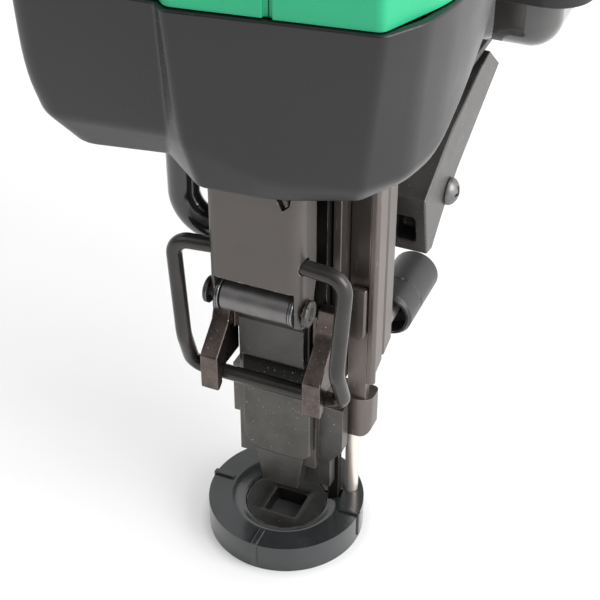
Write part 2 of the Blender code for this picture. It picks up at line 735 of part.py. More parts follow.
def nail_platform():
    profile = [(8.5, 143.0), (8.5, 136.0), (41.0, 136.0), (41.0, 133.0), (5.4, 133.0), (5.4, 143.0)]
    return turned("nail_platform", "Z", (*CANISTER_AT, 0), profile, BLACK_PLASTIC, steps=40)


# ---------------------------------------------------------------- housing


HOUSING_LIP = [
    (-45.5, -24.0, 130.6),
    (-21.0, -20.5, 131.0),
    (-9.2, -28.2, 128.6),
    (9.0, -23.8, 126.8),
    (27.5, -19.2, 128.8),
    (34.6, -10.0, 130.3),
    (38.4, 1.5, 131.8),
    (39.2, 15.0, 141.0),
    (39.2, 28.0, 150.0),
    (38.5, HOUSING_BACK, 157.0),
    (-48.0, HOUSING_BACK, 143.0),
    (-53.0, 32.0, 140.0),
    (-53.0, -9.0, 136.0),
]
HOUSING_CREASE = [
    (-52.2, -28.2, 139.0),
    (-18.0, -26.3, 140.0),
    (-11.8, -30.3, 141.0),
    (9.0, -26.2, 132.5),
    (29.0, -21.5, 133.0),
    (36.8, -11.5, 133.5),
    (40.0, 1.0, 135.5),
    (41.0, 14.0, 143.5),
    (41.0, 28.0, 152.0),
    (40.2, HOUSING_BACK, 160.0),
    (-50.0, HOUSING_BACK, 147.0),
    (-56.0, 32.0, 144.0),
    (-56.0, -9.0, 143.0),
]
HOUSING_WAIST = [
    (-55.8, -29.2, 150.0),
    (-17.8, -27.2, 150.0),
    (-13.2, -30.7, 150.5),
    (9.2, -26.6, 150.0),
    (31.2, -22.6, 150.0),
    (38.0, -12.5, 150.0),
    (41.4, 0.0, 152.0),
    (42.4, 14.0, 156.0),
    (42.4, 28.0, 162.0),
    (42.0, HOUSING_BACK, 166.0),
    (-51.0, HOUSING_BACK, 156.0),
    (-57.0, 32.0, 154.0),
    (-57.0, -10.0, 152.0),
]
HOUSING_SHOULDER = [
    (-56.4, -30.2, COVER_Z),
    (-18.0, -28.6, COVER_Z),
    (-15.0, -31.5, COVER_Z),
    (9.8, -27.9, COVER_Z),
    (34.4, -24.8, COVER_Z),
    (40.6, -14.5, COVER_Z),
    (43.2, -3.0, COVER_Z),
    (44.2, 14.0, COVER_Z),
    (44.2, 28.0, COVER_Z),
    (43.5, HOUSING_BACK, COVER_Z),
    (-51.0, HOUSING_BACK, COVER_Z),
    (-57.0, 32.0, COVER_Z),
    (-57.0, -11.0, COVER_Z),
]
COVER_OUTLINE = [HOUSING_SHOULDER[i] for i in (0, 1, 2, 4, 6, 8, 9, 10, 11, 12)]
FLOOR_HUB = (5.0, 4.0, 134.0)


def front_housing():
    rings = [HOUSING_LIP, HOUSING_CREASE, HOUSING_WAIST, HOUSING_SHOULDER]
    housing = loft("front_housing", rings, BLACK_PLASTIC, hub=FLOOR_HUB)
    hollow_rings = [inset(HOUSING_LIP, WALL + 0.6, WALL), inset(HOUSING_CREASE, WALL, WALL - 0.5)]
    hollow_rings += [inset(HOUSING_WAIST, WALL), inset(HOUSING_SHOULDER, WALL), inset(HOUSING_SHOULDER, WALL, 5.0)]
    hollow = loft("housing_hollow", hollow_rings, hub=(FLOOR_HUB[0], FLOOR_HUB[1], FLOOR_HUB[2] + WALL))
    nose_opening = box("nose_opening", (-14.6, -15.6, 115.0), (28.5, 25.0, 148.0))
    lead_opening = rod("lead_opening", "Z", (-26.0, -5.0, 135.0), 4.6, 30.0)
    round_edges(housing, 1.6, 3, 14.0)
    return cut(housing, hollow, nose_opening, lead_opening)


def top_covers():
    start = [(x, y, COVER_Z + GAP) for x, y, _ in inset(COVER_OUTLINE, 1.2)]
    rings = [start, scaled(start, 0.975, 205.0), scaled(start, 0.955, 246.0), scaled(start, 0.87, 260.0)]
    rings.append(scaled(start, 0.72, HOUSING_TOP))
    cover = loft("cover", rings, GREEN_PLASTIC)
    round_edges(cover, 1.2, 2, 12.0)
    base = inset(start, WALL)
    hollow_rings = [[(x, y, COVER_Z - 5.0) for x, y, _ in base], scaled(base, 0.975, 204.0)]
    hollow_rings += [scaled(base, 0.955, 244.5), scaled(base, 0.87, 257.8), scaled(base, 0.72, HOUSING_TOP - WALL)]
    cut(cover, loft("cover_hollow", hollow_rings))
    halves(cover, "top_cover_left", "top_cover_right", SEAM_X)


def ring_at(y, half_low, half_high, low, high, corner):
    """An eight-cornered section of the rear housing at one place along Y."""
    return [
        (-half_low + corner, y, low),
        (-half_low, y, low + corner),
        (-half_high, y, high - corner),
        (-half_high + corner, y, high),
        (half_high - corner, y, high),
        (half_high, y, high - corner),
        (half_low, y, low + corner),
        (half_low - corner, y, low),
    ]


def rear_housing():
    back = HOUSING_BACK + GAP
    rings = [ring_at(back, 42.0, 40.0, 177.6, 259.0, 9.0), ring_at(50.0, 34.0, 32.0, 182.0, 258.0, 9.0)]
    rings.append(ring_at(HANDLE_Y[0] - GAP, 15.5, 15.5, 211.0, 253.5, 5.0))
    housing = loft("rear_housing", rings, BLACK_PLASTIC)
    round_edges(housing, 1.5, 2, 20.0)
    hollow_rings = [ring_at(back - 5.0, 39.0, 37.0, 180.6, 256.0, 8.0), ring_at(48.0, 31.0, 29.0, 186.0, 254.0, 8.0)]
    hollow_rings.append(ring_at(59.0, 15.0, 15.0, 209.0, 250.0, 4.0))
    return cut(housing, loft("rear_hollow", hollow_rings))


# ---------------------------------------------------------------- handle, controls and power


def handle():
    low = (-HANDLE_HALF, HANDLE_Y[0], HANDLE_Z[0])
    high = (HANDLE_HALF, HANDLE_Y[1], HANDLE_Z[1])
    grip = box("handle", low, high, BLACK_PLASTIC, bevel=6.0, segments=3)
    hollow = box("handle_hollow", (-11.5, HANDLE_Y[0] + 3, 218.0), (11.5, HANDLE_Y[1] - 3, 247.0))
    slot = box("trigger_slot", (-6.4, 67.8, 205.0), (6.4, 93.0, 230.0))
    pin_hole = rod("handle_pin_hole", "X", (0, TRIGGER_Y, TRIGGER_Z), 1.8, 27.4)
    cut(grip, hollow, slot, pin_hole)
    halves(grip, "handle_left", "handle_right", 0.0)


def grip_sleeve():
    sleeve = box("grip_sleeve", (-17.3, 104.0, 211.2), (17.3, 168.0, 253.8), RUBBER, bevel=7.0, segments=3)
    return cut(sleeve, box("sleeve_bore", (-HANDLE_HALF - GAP, 95.0, 213.7), (HANDLE_HALF + GAP, 175.0, 251.3)))


def trigger():
    outline = [
        (69.3, 224.0),
        (69.3, 212.0),
        (72.6, 203.0),
        (72.0, 196.0),
        (69.6, 189.5),
        (73.0, 188.0),
        (78.0, 197.0),
        (80.0, 210.0),
        (84.0, 220.0),
        (83.0, 225.0),
        (72.0, 226.0),
    ]
    piece = plate("trigger", "YZ", outline, -5.8, 5.8, BLACK_PLASTIC, bevel=1.0)
    return cut(piece, rod("trigger_hole", "X", (0, TRIGGER_Y, TRIGGER_Z), 1.8, 40.0))


def trigger_pin():
    return rod("trigger_pin", "X", (0, TRIGGER_Y, TRIGGER_Z), 1.5, 26.8, BRIGHT_STEEL, 16)


def trigger_switch():
    return box("trigger_switch", (-5.5, 87.5, 218.6), (5.5, 101.0, 238.0), BLACK_PLASTIC, bevel=0.5)


def battery_foot():
    foot = box("battery_foot", (-33.0, FOOT_Y[0], 186.0), (33.0, FOOT_Y[1], 262.0), BLACK_PLASTIC, bevel=4.0, segments=3)
    return join(foot, box("foot_rail", (-20.0, FOOT_Y[1] - 3, 190.0), (20.0, FOOT_Y[1] + 5, 250.0)))


def battery():
    low = (-BATTERY_HALF, FOOT_Y[1] + 0.4, BATTERY_Z[0])
    high = (BATTERY_HALF, REAR_Y, BATTERY_Z[1])
    pack = box("battery", low, high, BLACK_PLASTIC, bevel=5.0, segments=3)
    channel = box("battery_channel", (-20.5, FOOT_Y[1] - 5, 189.6), (20.5, FOOT_Y[1] + 5.6, 280.0))
    pockets = [
        box("release_pocket_left", (-45.0, 206.0, 238.0), (-32.0, 220.0, 252.0)),
        box("release_pocket_right", (32.0, 206.0, 238.0), (45.0, 220.0, 252.0)),
    ]
    return cut(pack, channel, *pockets)


def battery_release(name, side):
    low, high = sorted((side * 34.6, side * 38.2))
    return box(name, (low, 206.4, 238.4), (high, 219.6, 251.6), BLACK_PLASTIC, bevel=0.8)


def mode_selector():
    knob = rod("mode_selector", "X", (-35.4, 185.2, 222.0), 6.0, 4.2, BLACK_PLASTIC, 28, bevel=0.6)
    return join(knob, box("selector_grip", (-40.0, 184.2, 217.0), (-36.5, 186.2, 227.0)))


def belt_hook():
    reach = HOOK_REACH - 2.0
    corners = [
        (33.4, HOOK_Y, HOOK_Z),
        (reach, HOOK_Y, HOOK_Z),
        (reach, HOOK_Y, 200.0),
        (42.0, HOOK_Y, 192.0),
    ]
    return wire("belt_hook", rounded_path(corners, (6.0, 6.0), 5), 2.0, BLACK_WIRE, 2)


# ---------------------------------------------------------------- drive train


def drive_frame():
    block = box("drive_frame", (-9.6, -14.0, NOSE_TOP + GAP), (26.0, 2.0, 172.6), ALUMINIUM, bevel=0.6)
    right = box("frame_right", (8.0, 1.0, 150.0), (25.5, 21.0, 172.4))
    deck = box("frame_deck", (-24.0, -21.5, 172.3), (26.0, 24.5, CYLINDER_BOTTOM - GAP))
    seat = box("spring_seat", (13.5, 3.0, 144.0), (23.5, 15.0, 151.0))
    slot = box("blade_slot", (-2.6, -1.9, 120.0), (2.6, 3.4, 180.0))
    bearing = rod("frame_bearing", "X", (10.0, LIFTER_Y, LIFTER_Z), 3.4, 8.0)
    return cut(join(block, right, deck, seat), slot, bearing)


def air_cylinder():
    top, bottom = CYLINDER_TOP, CYLINDER_BOTTOM
    profile = [(0, top), (CYLINDER_RADIUS, top), (CYLINDER_RADIUS, bottom)]
    profile += [(CYLINDER_BORE, bottom), (CYLINDER_BORE, top - 3.0), (0, top - 3.0)]
    return turned("air_cylinder", "Z", (0, 0, 0), profile, ALUMINIUM, steps=40)


def bumper():
    low = CYLINDER_BOTTOM
    profile = [(15.8, low + 4.7), (15.8, low), (5.5, low), (5.5, low + 3.2), (7.0, low + 4.7)]
    return turned("bumper", "Z", (0, 0, 0), profile, RUBBER, steps=32)


def piston():
    profile = [(0, PISTON_Z[1]), (16.1, PISTON_Z[1]), (16.1, PISTON_Z[0]), (0, PISTON_Z[0])]
    return turned("piston", "Z", (0, 0, 0), profile, ALUMINIUM, steps=40)


def driver_blade():
    """A flat blade with a row of lifting teeth along its back edge."""
    top = PISTON_Z[0] - GAP
    pitch, depth, face, back = 8.0, 1.2, -1.0, 1.2
    outline = [(face, top), (face, BLADE_TIP), (back, BLADE_TIP)]
    for k in range(10):
        low = 164.0 + pitch * k
        outline += [(back, low), (back + depth, low), (back + depth, low + pitch / 3), (back, low + pitch / 2)]
    outline.append((back, top))
    return plate("driver_blade", "YZ", outline, -1.6, 1.6, BRIGHT_STEEL)


def lifter_wheel():
    teeth, tip, root = 8, 11.0, 7.8
    outline = []
    for k in range(teeth):
        base = 360.0 * k / teeth
        outline += arc((LIFTER_Y, LIFTER_Z), root, base, base + 14.0, 1)
        outline += arc((LIFTER_Y, LIFTER_Z), tip, base + 19.0, base + 29.0, 1)
        outline += arc((LIFTER_Y, LIFTER_Z), root, base + 34.0, base + 40.0, 1)
    wheel = plate("lifter_wheel", "YZ", outline, -2.2, 2.2, BRIGHT_STEEL)
    return join(wheel, rod("lifter_shaft", "X", (0.8, LIFTER_Y, LIFTER_Z), 3.0, 24.0))


def gearbox():
    case = rod("gearbox", "X", (-17.5, LIFTER_Y, LIFTER_Z), 13.0, 15.0, ALUMINIUM, 32, bevel=0.6)
    output = rod("gearbox_output", "X", (-12.0, LIFTER_Y, LIFTER_Z), 3.3, 8.0)
    entry = rod("gearbox_entry", "X", (-24.0, LIFTER_Y, LIFTER_Z), 2.9, 6.0)
    return cut(case, output, entry)


def motor_can():
    profile = [(14.3, -25.3), (14.3, -50.0), (12.6, -50.0), (12.6, -27.3), (3.0, -27.3), (3.0, -25.3)]
    return turned("motor_can", "X", (0, LIFTER_Y, LIFTER_Z), profile, ALUMINIUM, steps=36)


def motor_rotor():
    profile = [(0, -21.6), (2.5, -21.6), (2.5, -29.0), (11.4, -29.0), (11.4, -47.0), (2.5, -47.0), (2.5, -49.5), (0, -49.5)]
    return turned("motor_rotor", "X", (0, LIFTER_Y, LIFTER_Z), profile, BRIGHT_STEEL, steps=28)


def depth_dial():
    dial = rod("depth_dial", "Z", (2.0, 21.6, 118.0), 5.0, 7.0, BLACK_PLASTIC, 20, bevel=0.5)
    return join(dial, rod("dial_stud", "Z", (2.0, 21.6, 131.0), 2.0, 26.0))


# ---------------------------------------------------------------- assembly


def build():
    nose_body()
    front_guide()
    latch_hook("latch_hook_left", -1)
    latch_hook("latch_hook_right", 1)
    latch_bracket()
    latch_pin()
    latch_washer("latch_washer_left", -1)
    latch_washer("latch_washer_right", 1)
    side_rail()
    lead_guard()
    hang(pivot("latch_lever_axis", (0, PIN_Y, PIN_Z)), latch_lever())
    hang(pivot("wire_bail_axis", (0, BAIL_Y, BAIL_Z)), wire_bail())
    hang(pivot("contact_trip_axis", (0, 0, 0)), base_ring(), contact_foot(), contact_arm(), contact_rod())
    contact_spring()

    feed_chute()
    feed_door_pin()
    feeder_cylinder()
    bracket_arm()
    arm_screw()
    canister_bracket()
    hang(pivot("feed_door_axis", (*DOOR_PIN_AT, 63.0)), feed_door())
    hang(pivot("feeder_rod_axis", (FEEDER_AT[0], 27.0, FEEDER_AT[1])), feeder_rod())

    canister_halves()
    canister_lid()
    canister_hinge_pin()
    platform_post()
    cover = bpy.data.objects["canister_cover"]
    hang(pivot("canister_cover_axis", (CANISTER_AT[0], CANISTER_PIN_Y, 150.0)), cover)
    hang(pivot("canister_latch_axis", (15.0, LATCH_AT[0], LATCH_AT[1])), canister_latch())
    hang(pivot("nail_platform_axis", (*CANISTER_AT, 133.0)), nail_platform())

    front_housing()
    top_covers()
    rear_housing()
    handle()
    grip_sleeve()
    trigger_pin()
    trigger_switch()
    battery_foot()
    hang(pivot("trigger_axis", (0, TRIGGER_Y, TRIGGER_Z)), trigger())
    hang(pivot("mode_selector_axis", (-35.4, 185.2, 222.0)), mode_selector())
    hang(pivot("belt_hook_axis", (33.4, HOOK_Y, HOOK_Z)), belt_hook())
    releases = [battery_release("battery_release_left", -1), battery_release("battery_release_right", 1)]
    hang(pivot("battery_axis", (0, FOOT_Y[1], BATTERY_Z[0])), battery(), *releases)

    drive_frame()
    air_cylinder()
    bumper()
    gearbox()
    motor_can()
    hang(pivot("driver_axis", (0, 0, PISTON_Z[0])), piston(), driver_blade())
    hang(pivot("lifter_axis", (0, LIFTER_Y, LIFTER_Z)), lifter_wheel())
    hang(pivot("rotor_axis", (-38.0, LIFTER_Y, LIFTER_Z)), motor_rotor())
    hang(pivot("depth_dial_axis", (2.0, 21.6, 118.0)), depth_dial())


build()
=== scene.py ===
"""The looks of the coil roofing nailer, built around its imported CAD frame.

Shapes are made in millimetres in the tool's own frame: the nails run down x = 0, y = 0, +Y is towards the
battery and the contact ring stands on z = 0. settle() then turns each finished shape into metres in the row
frame.
"""

import json
import math

import bmesh
import bpy
from mathutils import Matrix, Vector


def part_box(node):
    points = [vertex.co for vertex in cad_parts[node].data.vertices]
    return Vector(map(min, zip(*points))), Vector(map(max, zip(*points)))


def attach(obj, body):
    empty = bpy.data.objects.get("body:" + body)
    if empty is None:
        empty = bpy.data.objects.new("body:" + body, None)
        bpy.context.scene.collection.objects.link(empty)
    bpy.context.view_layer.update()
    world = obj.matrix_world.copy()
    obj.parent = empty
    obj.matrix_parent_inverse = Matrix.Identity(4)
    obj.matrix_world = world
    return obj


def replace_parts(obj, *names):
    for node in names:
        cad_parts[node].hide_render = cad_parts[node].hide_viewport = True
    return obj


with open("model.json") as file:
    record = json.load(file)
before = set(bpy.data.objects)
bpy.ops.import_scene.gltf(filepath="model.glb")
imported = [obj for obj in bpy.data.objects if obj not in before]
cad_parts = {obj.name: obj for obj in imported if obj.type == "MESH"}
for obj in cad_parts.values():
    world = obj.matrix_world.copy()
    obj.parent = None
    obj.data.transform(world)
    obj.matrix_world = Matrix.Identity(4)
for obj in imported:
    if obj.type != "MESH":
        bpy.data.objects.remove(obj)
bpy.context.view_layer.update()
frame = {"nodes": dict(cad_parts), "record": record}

BEHAVIOUR = frame["record"]["behaviour"]
BODY_OF = {node: body for body, nodes in BEHAVIOUR["bodies"].items() for node in nodes}
SLOT_OF = {part["node"]: part["material_slot"] for part in frame["record"]["subparts"]}

MM = 0.001
GAP = 0.3
RING_LOW, RING_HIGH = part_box("base_ring")
TO_ROW = Matrix.Translation((0.0, (RING_LOW.y + RING_HIGH.y) / 2, 0.0)) @ Matrix.Scale(MM, 4)

# Places and sizes that the fine shapes share with the CAD solids, in millimetres
RING_RADIUS = 23.0
RING_HEIGHT = 9.0
ROD_AT = (16.8, 9.9)
TRACK_X = (15.9, 21.9)
COLLAR_TOP = 47.5
ARM_TOP = 128.0
NOSE_FRONT = -3.0
GUIDE_FRONT = -6.5
GUIDE_HALF = 10.1
PIN_Y, PIN_Z = -16.2, 90.5
BAIL_Y, BAIL_Z = -16.0, 104.5
BAR_Y, BAR_Z = -11.7, 60.2
WIRE_RADIUS = 2.1
FOOT_MOUTH, FOOT_BORE = 6.85, 5.0
BAIL_HALF = 23.8
LEVER_HALF = 13.0
LEVER_FRONT = -19.5
LEVER_TOP = 127.0
SHEET = 2.0
HOOK_INNER, HOOK_OUTER = 12.3, 17.4
WALL = 2.5
HOUSING_BACK = 40.0
COVER_Z = 174.0
HOUSING_TOP = 266.0
SEAM_X = 8.5
CHUTE_HALF = 9.0
CANISTER_AT = (-1.0, 109.0)
CANISTER_RADIUS = 47.5
CANISTER_BOTTOM = 126.0
CANISTER_TOP = 170.0
CANISTER_PIN_Y = 160.5
CORNER_FRONT, CORNER_RIGHT = 73.8, 48.4
RIM_FRONT, RIM_RIGHT = 67.6, 56.8
RIM_Z = (144.0, 147.6)
FEEDER_AT = (19.5, 61.5)
ARM_FACE = 27.8
HANDLE_Y = (64.3, 178.0)
HANDLE_Z = (214.0, 251.0)
HANDLE_HALF = 14.5
TRIGGER_Y, TRIGGER_Z = 72.0, 221.0
FOOT_Y = (178.3, 192.0)
BATTERY_Z = (176.0, 264.0)
BATTERY_HALF = 37.0
REAR_Y = 246.5
HOOK_REACH = 57.0
HOOK_Y, HOOK_Z = 185.0, 246.0


# --- camera, light and floor


WHITE = (1.0, 1.0, 1.0, 1.0)
RANGE_ENDS = ("From Min", "From Max", "To Min", "To Max")


def add_node(tree, kind, inputs=None, **settings):
    """A shader node. Each input is a value, or the socket that feeds it."""
    made = tree.nodes.new(kind)
    for key, value in settings.items():
        setattr(made, key, value)
    for key, value in (inputs or {}).items():
        if isinstance(value, bpy.types.NodeSocket):
            tree.links.new(value, made.inputs[key])
        else:
            made.inputs[key].default_value = value
    return made


def ranged(tree, value, ends):
    """Maps the value's range, the first two ends, onto the last two."""
    inputs = {"Value": value, **dict(zip(RANGE_ENDS, ends))}
    return add_node(tree, "ShaderNodeMapRange", inputs).outputs["Result"]


def camera():
    lens = bpy.data.cameras.new("camera")
    lens.lens = 84.2
    lens.sensor_width = 36.0
    viewer = bpy.data.objects.new("camera", lens)
    viewer.location = (0.12418, -0.38447, 0.30157)
    viewer.rotation_euler = (math.radians(53.86), 0.0, math.radians(23.39))
    bpy.context.scene.collection.objects.link(viewer)
    bpy.context.scene.camera = viewer


def room():
    """Soft light from all round, dim behind the camera and brightest on the right, so faces stand out."""
    world = bpy.data.worlds.new("studio")
    world.use_nodes = True
    tree = world.node_tree
    direction = add_node(tree, "ShaderNodeTexCoord").outputs["Generated"]
    heading = add_node(tree, "ShaderNodeSeparateXYZ", {"Vector": direction}).outputs
    front_to_back = ranged(tree, heading["Y"], (-1.0, 0.4, 0.15, 0.85))
    to_the_right = ranged(tree, heading["X"], (0.0, 1.0, 0.0, 1.15))
    level = add_node(tree, "ShaderNodeMath", {0: front_to_back, 1: to_the_right}).outputs["Value"]
    tree.nodes["Background"].inputs["Color"].default_value = WHITE
    tree.links.new(level, tree.nodes["Background"].inputs["Strength"])
    bpy.context.scene.world = world
    bpy.context.scene.view_settings.view_transform = "Standard"


def softboxes():
    for name, place, target, size, power in (
        ("right_softbox", (1.5, -0.2, 1.1), (0.0, -0.05, 0.12), 1.2, 26.0),
        ("left_softbox", (-1.3, -0.9, 1.3), (0.0, -0.05, 0.12), 1.0, 3.0),
        ("top_softbox", (0.1, 0.5, 1.7), (0.0, 0.0, 0.1), 1.4, 8.0),
    ):
        light = bpy.data.lights.new(name, "AREA")
        light.shape = "SQUARE"
        light.size = size
        light.energy = power
        lamp = bpy.data.objects.new(name, light)
        lamp.location = place
        lamp.rotation_euler = (Vector(place) - Vector(target)).to_track_quat("Z", "Y").to_euler()
        bpy.context.scene.collection.objects.link(lamp)


def floor_paper():
    """Pale paper that glows softly, with painted shade under the ring's bore, where the glow stops and the
    colour turns dark.
    """
    paper = surface("floor_paper", (0.60, 0.60, 0.60), 0.6, mottle=0.01, mottle_size=60.0, grain=0.0)
    tree = paper.node_tree
    shader = tree.nodes["Principled BSDF"]
    place = add_node(tree, "ShaderNodeTexCoord").outputs["Object"]
    ring_centre = {0: place, 1: TO_ROW.translation}
    from_ring = add_node(tree, "ShaderNodeVectorMath", ring_centre, operation="DISTANCE").outputs["Value"]
    shader.inputs["Emission Color"].default_value = WHITE
    tree.links.new(ranged(tree, from_ring, (0.019, 0.026, 0.0, 0.34)), shader.inputs["Emission Strength"])
    # painted shade: the paper's colour turns near-black under the ring's bore
    shade = ranged(tree, from_ring, (0.012, 0.021, 0.93, 0.0))
    colour = shader.inputs["Base Color"].links[0].from_socket
    dark = {0: shade, 6: colour, 7: (0.02, 0.02, 0.02, 1.0)}
    shaded = add_node(tree, "ShaderNodeMix", dark, data_type="RGBA").outputs[2]
    tree.links.new(shaded, shader.inputs["Base Color"])
    return paper


def floor():
    def build(body):
        bmesh.ops.create_grid(body, x_segments=8, y_segments=8, size=5.0)

    sheet = bpy.data.objects.new("floor", mesh_from("floor", build))
    bpy.context.scene.collection.objects.link(sheet)
    sheet.data.materials.append(floor_paper())


# --- materials


def surface(
    name,
    colour,
    roughness,
    metallic=0.0,
    mottle=0.12,
    mottle_size=9.0,
    grain=0.02,
    grain_size=0.5,
    streak=None,
    specks=0.0,
    wear=0.0,
    wear_colour=(0.5, 0.46, 0.42),
    wear_width=0.35,
    coat=0.0,
    specular=0.5,
    shade=None,
):
    """A procedural finish. Sizes are in millimetres, and the pattern stays on the piece as it moves.

    mottle changes the colour softly, grain is a fine relief that deep, streak stretches both along an axis,
    specks are small bright grains and wear bares the edges in its own colour. shade is (from z, to z, how
    dark), a stretch where shade is painted into the colour.
    """
    made = bpy.data.materials.new(name)
    made.use_nodes = True
    tree = made.node_tree
    shader = tree.nodes["Principled BSDF"]
    shader.inputs["Metallic"].default_value = metallic
    shader.inputs["Coat Weight"].default_value = coat
    shader.inputs["Coat Roughness"].default_value = 0.12
    shader.inputs["Specular IOR Level"].default_value = specular

    def node(kind, inputs=None, **settings):
        return add_node(tree, kind, inputs, **settings)

    def noise(size, detail, coordinates):
        texture = {"Vector": coordinates, "Scale": 1.0 / (size * MM), "Detail": detail}
        return node("ShaderNodeTexNoise", texture).outputs["Fac"]

    def between(value, low, high, to_low, to_high):
        return ranged(tree, value, (low, high, to_low, to_high))

    def blended(factor, one, two):
        return node("ShaderNodeMix", {0: factor, 6: one, 7: two}, data_type="RGBA").outputs[2]

    place = node("ShaderNodeTexCoord").outputs["Object"]
    if streak:
        place = node("ShaderNodeMapping", {"Vector": place, "Scale": streak}).outputs["Vector"]
    soft = noise(mottle_size, 4.0, place)
    dark = (*(c * (1.0 - mottle) for c in colour), 1.0)
    light = (*(min(c * (1.0 + mottle), 1.0) for c in colour), 1.0)
    base = blended(between(soft, 0.35, 0.65, 0.0, 1.0), dark, light)
    rough = between(soft, 0.3, 0.7, roughness - 0.05, roughness + 0.05)

    # painted shade: the colour is darkened between two heights, where the piece lies in shadow
    if shade:
        whole = node("ShaderNodeTexCoord").outputs["Object"]
        height = node("ShaderNodeSeparateXYZ", {"Vector": whole}).outputs["Z"]
        ragged_edge = between(soft, 0.3, 0.7, -1.0 * MM, 1.0 * MM)
        level = node("ShaderNodeMath", {0: height, 1: ragged_edge}, operation="ADD").outputs[0]
        rise = between(level, (shade[0] - 1.0) * MM, (shade[0] + 1.0) * MM, 0.0, 1.0)
        fall = between(level, (shade[1] - 1.0) * MM, (shade[1] + 1.0) * MM, 1.0, 0.0)
        painted_shade_band = node("ShaderNodeMath", {0: rise, 1: fall}, operation="MULTIPLY").outputs[0]
        base = blended(painted_shade_band, base, (*(c * shade[2] for c in colour), 1.0))
    if specks:
        flecks = between(noise(0.55, 1.0, place), 0.78 - 0.12 * specks, 0.86 - 0.12 * specks, 0.0, 1.0)
        base = blended(flecks, base, (0.55, 0.52, 0.49, 1.0))
    if wear:
        rounded = node("ShaderNodeBevel", {"Radius": wear_width * MM}, samples=6).outputs["Normal"]
        flat = node("ShaderNodeNewGeometry").outputs["Normal"]
        facing = node("ShaderNodeVectorMath", {0: rounded, 1: flat}, operation="DOT_PRODUCT")
        edge = between(facing.outputs["Value"], 0.995, 0.90, 0.0, 1.0)
        ragged = between(noise(2.2, 6.0, place), 0.62 - 0.3 * wear, 0.66, 0.0, 1.0)
        bare = node("ShaderNodeMath", {0: edge, 1: ragged}, operation="MULTIPLY").outputs[0]
        base = blended(bare, base, (*wear_colour, 1.0))
    tree.links.new(base, shader.inputs["Base Color"])
    tree.links.new(rough, shader.inputs["Roughness"])
    if grain:
        height = {"Height": noise(grain_size, 3.0, place), "Strength": 1.0, "Distance": grain * MM}
        relief = node("ShaderNodeBump", height)
        tree.links.new(relief.outputs["Normal"], shader.inputs["Normal"])
    return made


def steel(name, colour, roughness=0.38, **settings):
    """A worn steel. The settings here hold unless a finish gives its own."""
    usual = {"metallic": 0.85, "mottle": 0.14, "mottle_size": 7.0, "grain": 0.012, "grain_size": 0.6}
    return surface(name, colour, roughness, **(usual | settings))


UPRIGHT = (1.0, 1.0, 0.06)
RAIL_COLOUR = (0.165, 0.143, 0.132)
RAIL_FINISH = {"roughness": 0.34, "mottle_size": 4.0, "grain_size": 0.7, "streak": UPRIGHT}

GUNMETAL = steel(
    "gunmetal", (0.105, 0.098, 0.093), 0.42, mottle=0.16, mottle_size=6.0, specks=0.25, wear=0.35
)
GUIDE_STEEL = steel("guide_steel", (0.08, 0.077, 0.073), specks=0.35, wear=0.45)
LEVER_STEEL = steel(
    "lever_steel", (0.110, 0.099, 0.093), metallic=0.75, mottle=0.06, mottle_size=14.0, grain=0.008,
    grain_size=0.7, wear=0.25, wear_width=0.5
)
# shade paints the nose dark above z 58, as painted shade under the lever, rail and housing
NOSE_STEEL = steel(
    "nose_steel", (0.12, 0.114, 0.108), specks=0.3, wear=0.8, wear_colour=(0.4, 0.3, 0.24),
    shade=(58.0, 140.0, 0.12)
)
# shade paints the shadow of the latch bracket and the bail's bar across the guide
DOOR_STEEL = steel("door_steel", (0.10, 0.096, 0.09), specks=0.4, wear=0.6, shade=(57.0, 67.0, 0.06))
BROWN_STEEL = steel(
    "brown_steel", (0.12, 0.096, 0.087), 0.30, metallic=0.95, mottle=0.2, mottle_size=3.0, grain=0.025,
    grain_size=0.7, specks=0.7, wear=0.7, wear_colour=(0.6, 0.52, 0.47)
)
# near-black steel, its darkness partly painted shade of the recess inside the ring's bore
FOOT_STEEL = steel(
    "foot_steel", (0.020, 0.019, 0.018), 0.32, metallic=0.5, mottle=0.2, mottle_size=4.0, grain=0.02,
    grain_size=0.7, specks=0.1, wear=0.8, wear_colour=(0.3, 0.22, 0.17)
)
RAIL_STEEL = steel("rail_steel", RAIL_COLOUR, mottle=0.12, specks=0.35, wear=0.5, **RAIL_FINISH)
# shade paints the strip dark above the lug, as painted shade in the rail's channel under the housing
TRIP_STEEL = steel(
    "trip_steel", RAIL_COLOUR, specks=0.5, wear=0.6, shade=(88.0, 140.0, 0.38), **RAIL_FINISH
)
ARM_STEEL = steel(
    "arm_steel", (0.115, 0.111, 0.108), 0.40, metallic=0.8, mottle=0.1, mottle_size=5.0, grain=0.02,
    grain_size=0.35, specks=0.5, wear=0.45
)
BRIGHT_STEEL = steel(
    "bright_steel", (0.88, 0.80, 0.74), 0.34, metallic=0.75, mottle=0.08, mottle_size=5.0, grain=0.006,
    grain_size=0.5, streak=UPRIGHT
)
WASHER_STEEL = steel(
    "washer_steel", (0.24, 0.24, 0.25), 0.3, metallic=0.95, mottle=0.1, mottle_size=4.0, grain=0.006,
    grain_size=0.5
)
ROLLER_STEEL = steel(
    "roller_steel", (0.19, 0.186, 0.184), 0.42, mottle=0.1, mottle_size=4.0, grain=0.008, grain_size=0.5,
    specks=0.3, wear=0.3
)
BLACK_WIRE = steel(
    "black_wire", (0.042, 0.039, 0.037), 0.24, metallic=0.45, mottle=0.12, mottle_size=8.0, grain=0.004,
    wear=0.3
)
ALUMINIUM = surface("aluminium", (0.55, 0.55, 0.55), 0.4, metallic=1.0, mottle=0.08, mottle_size=5.0)
RUBBER = surface("rubber", (0.020, 0.022, 0.023), 0.22, mottle=0.18, mottle_size=6.0, grain=0.01, coat=0.4)
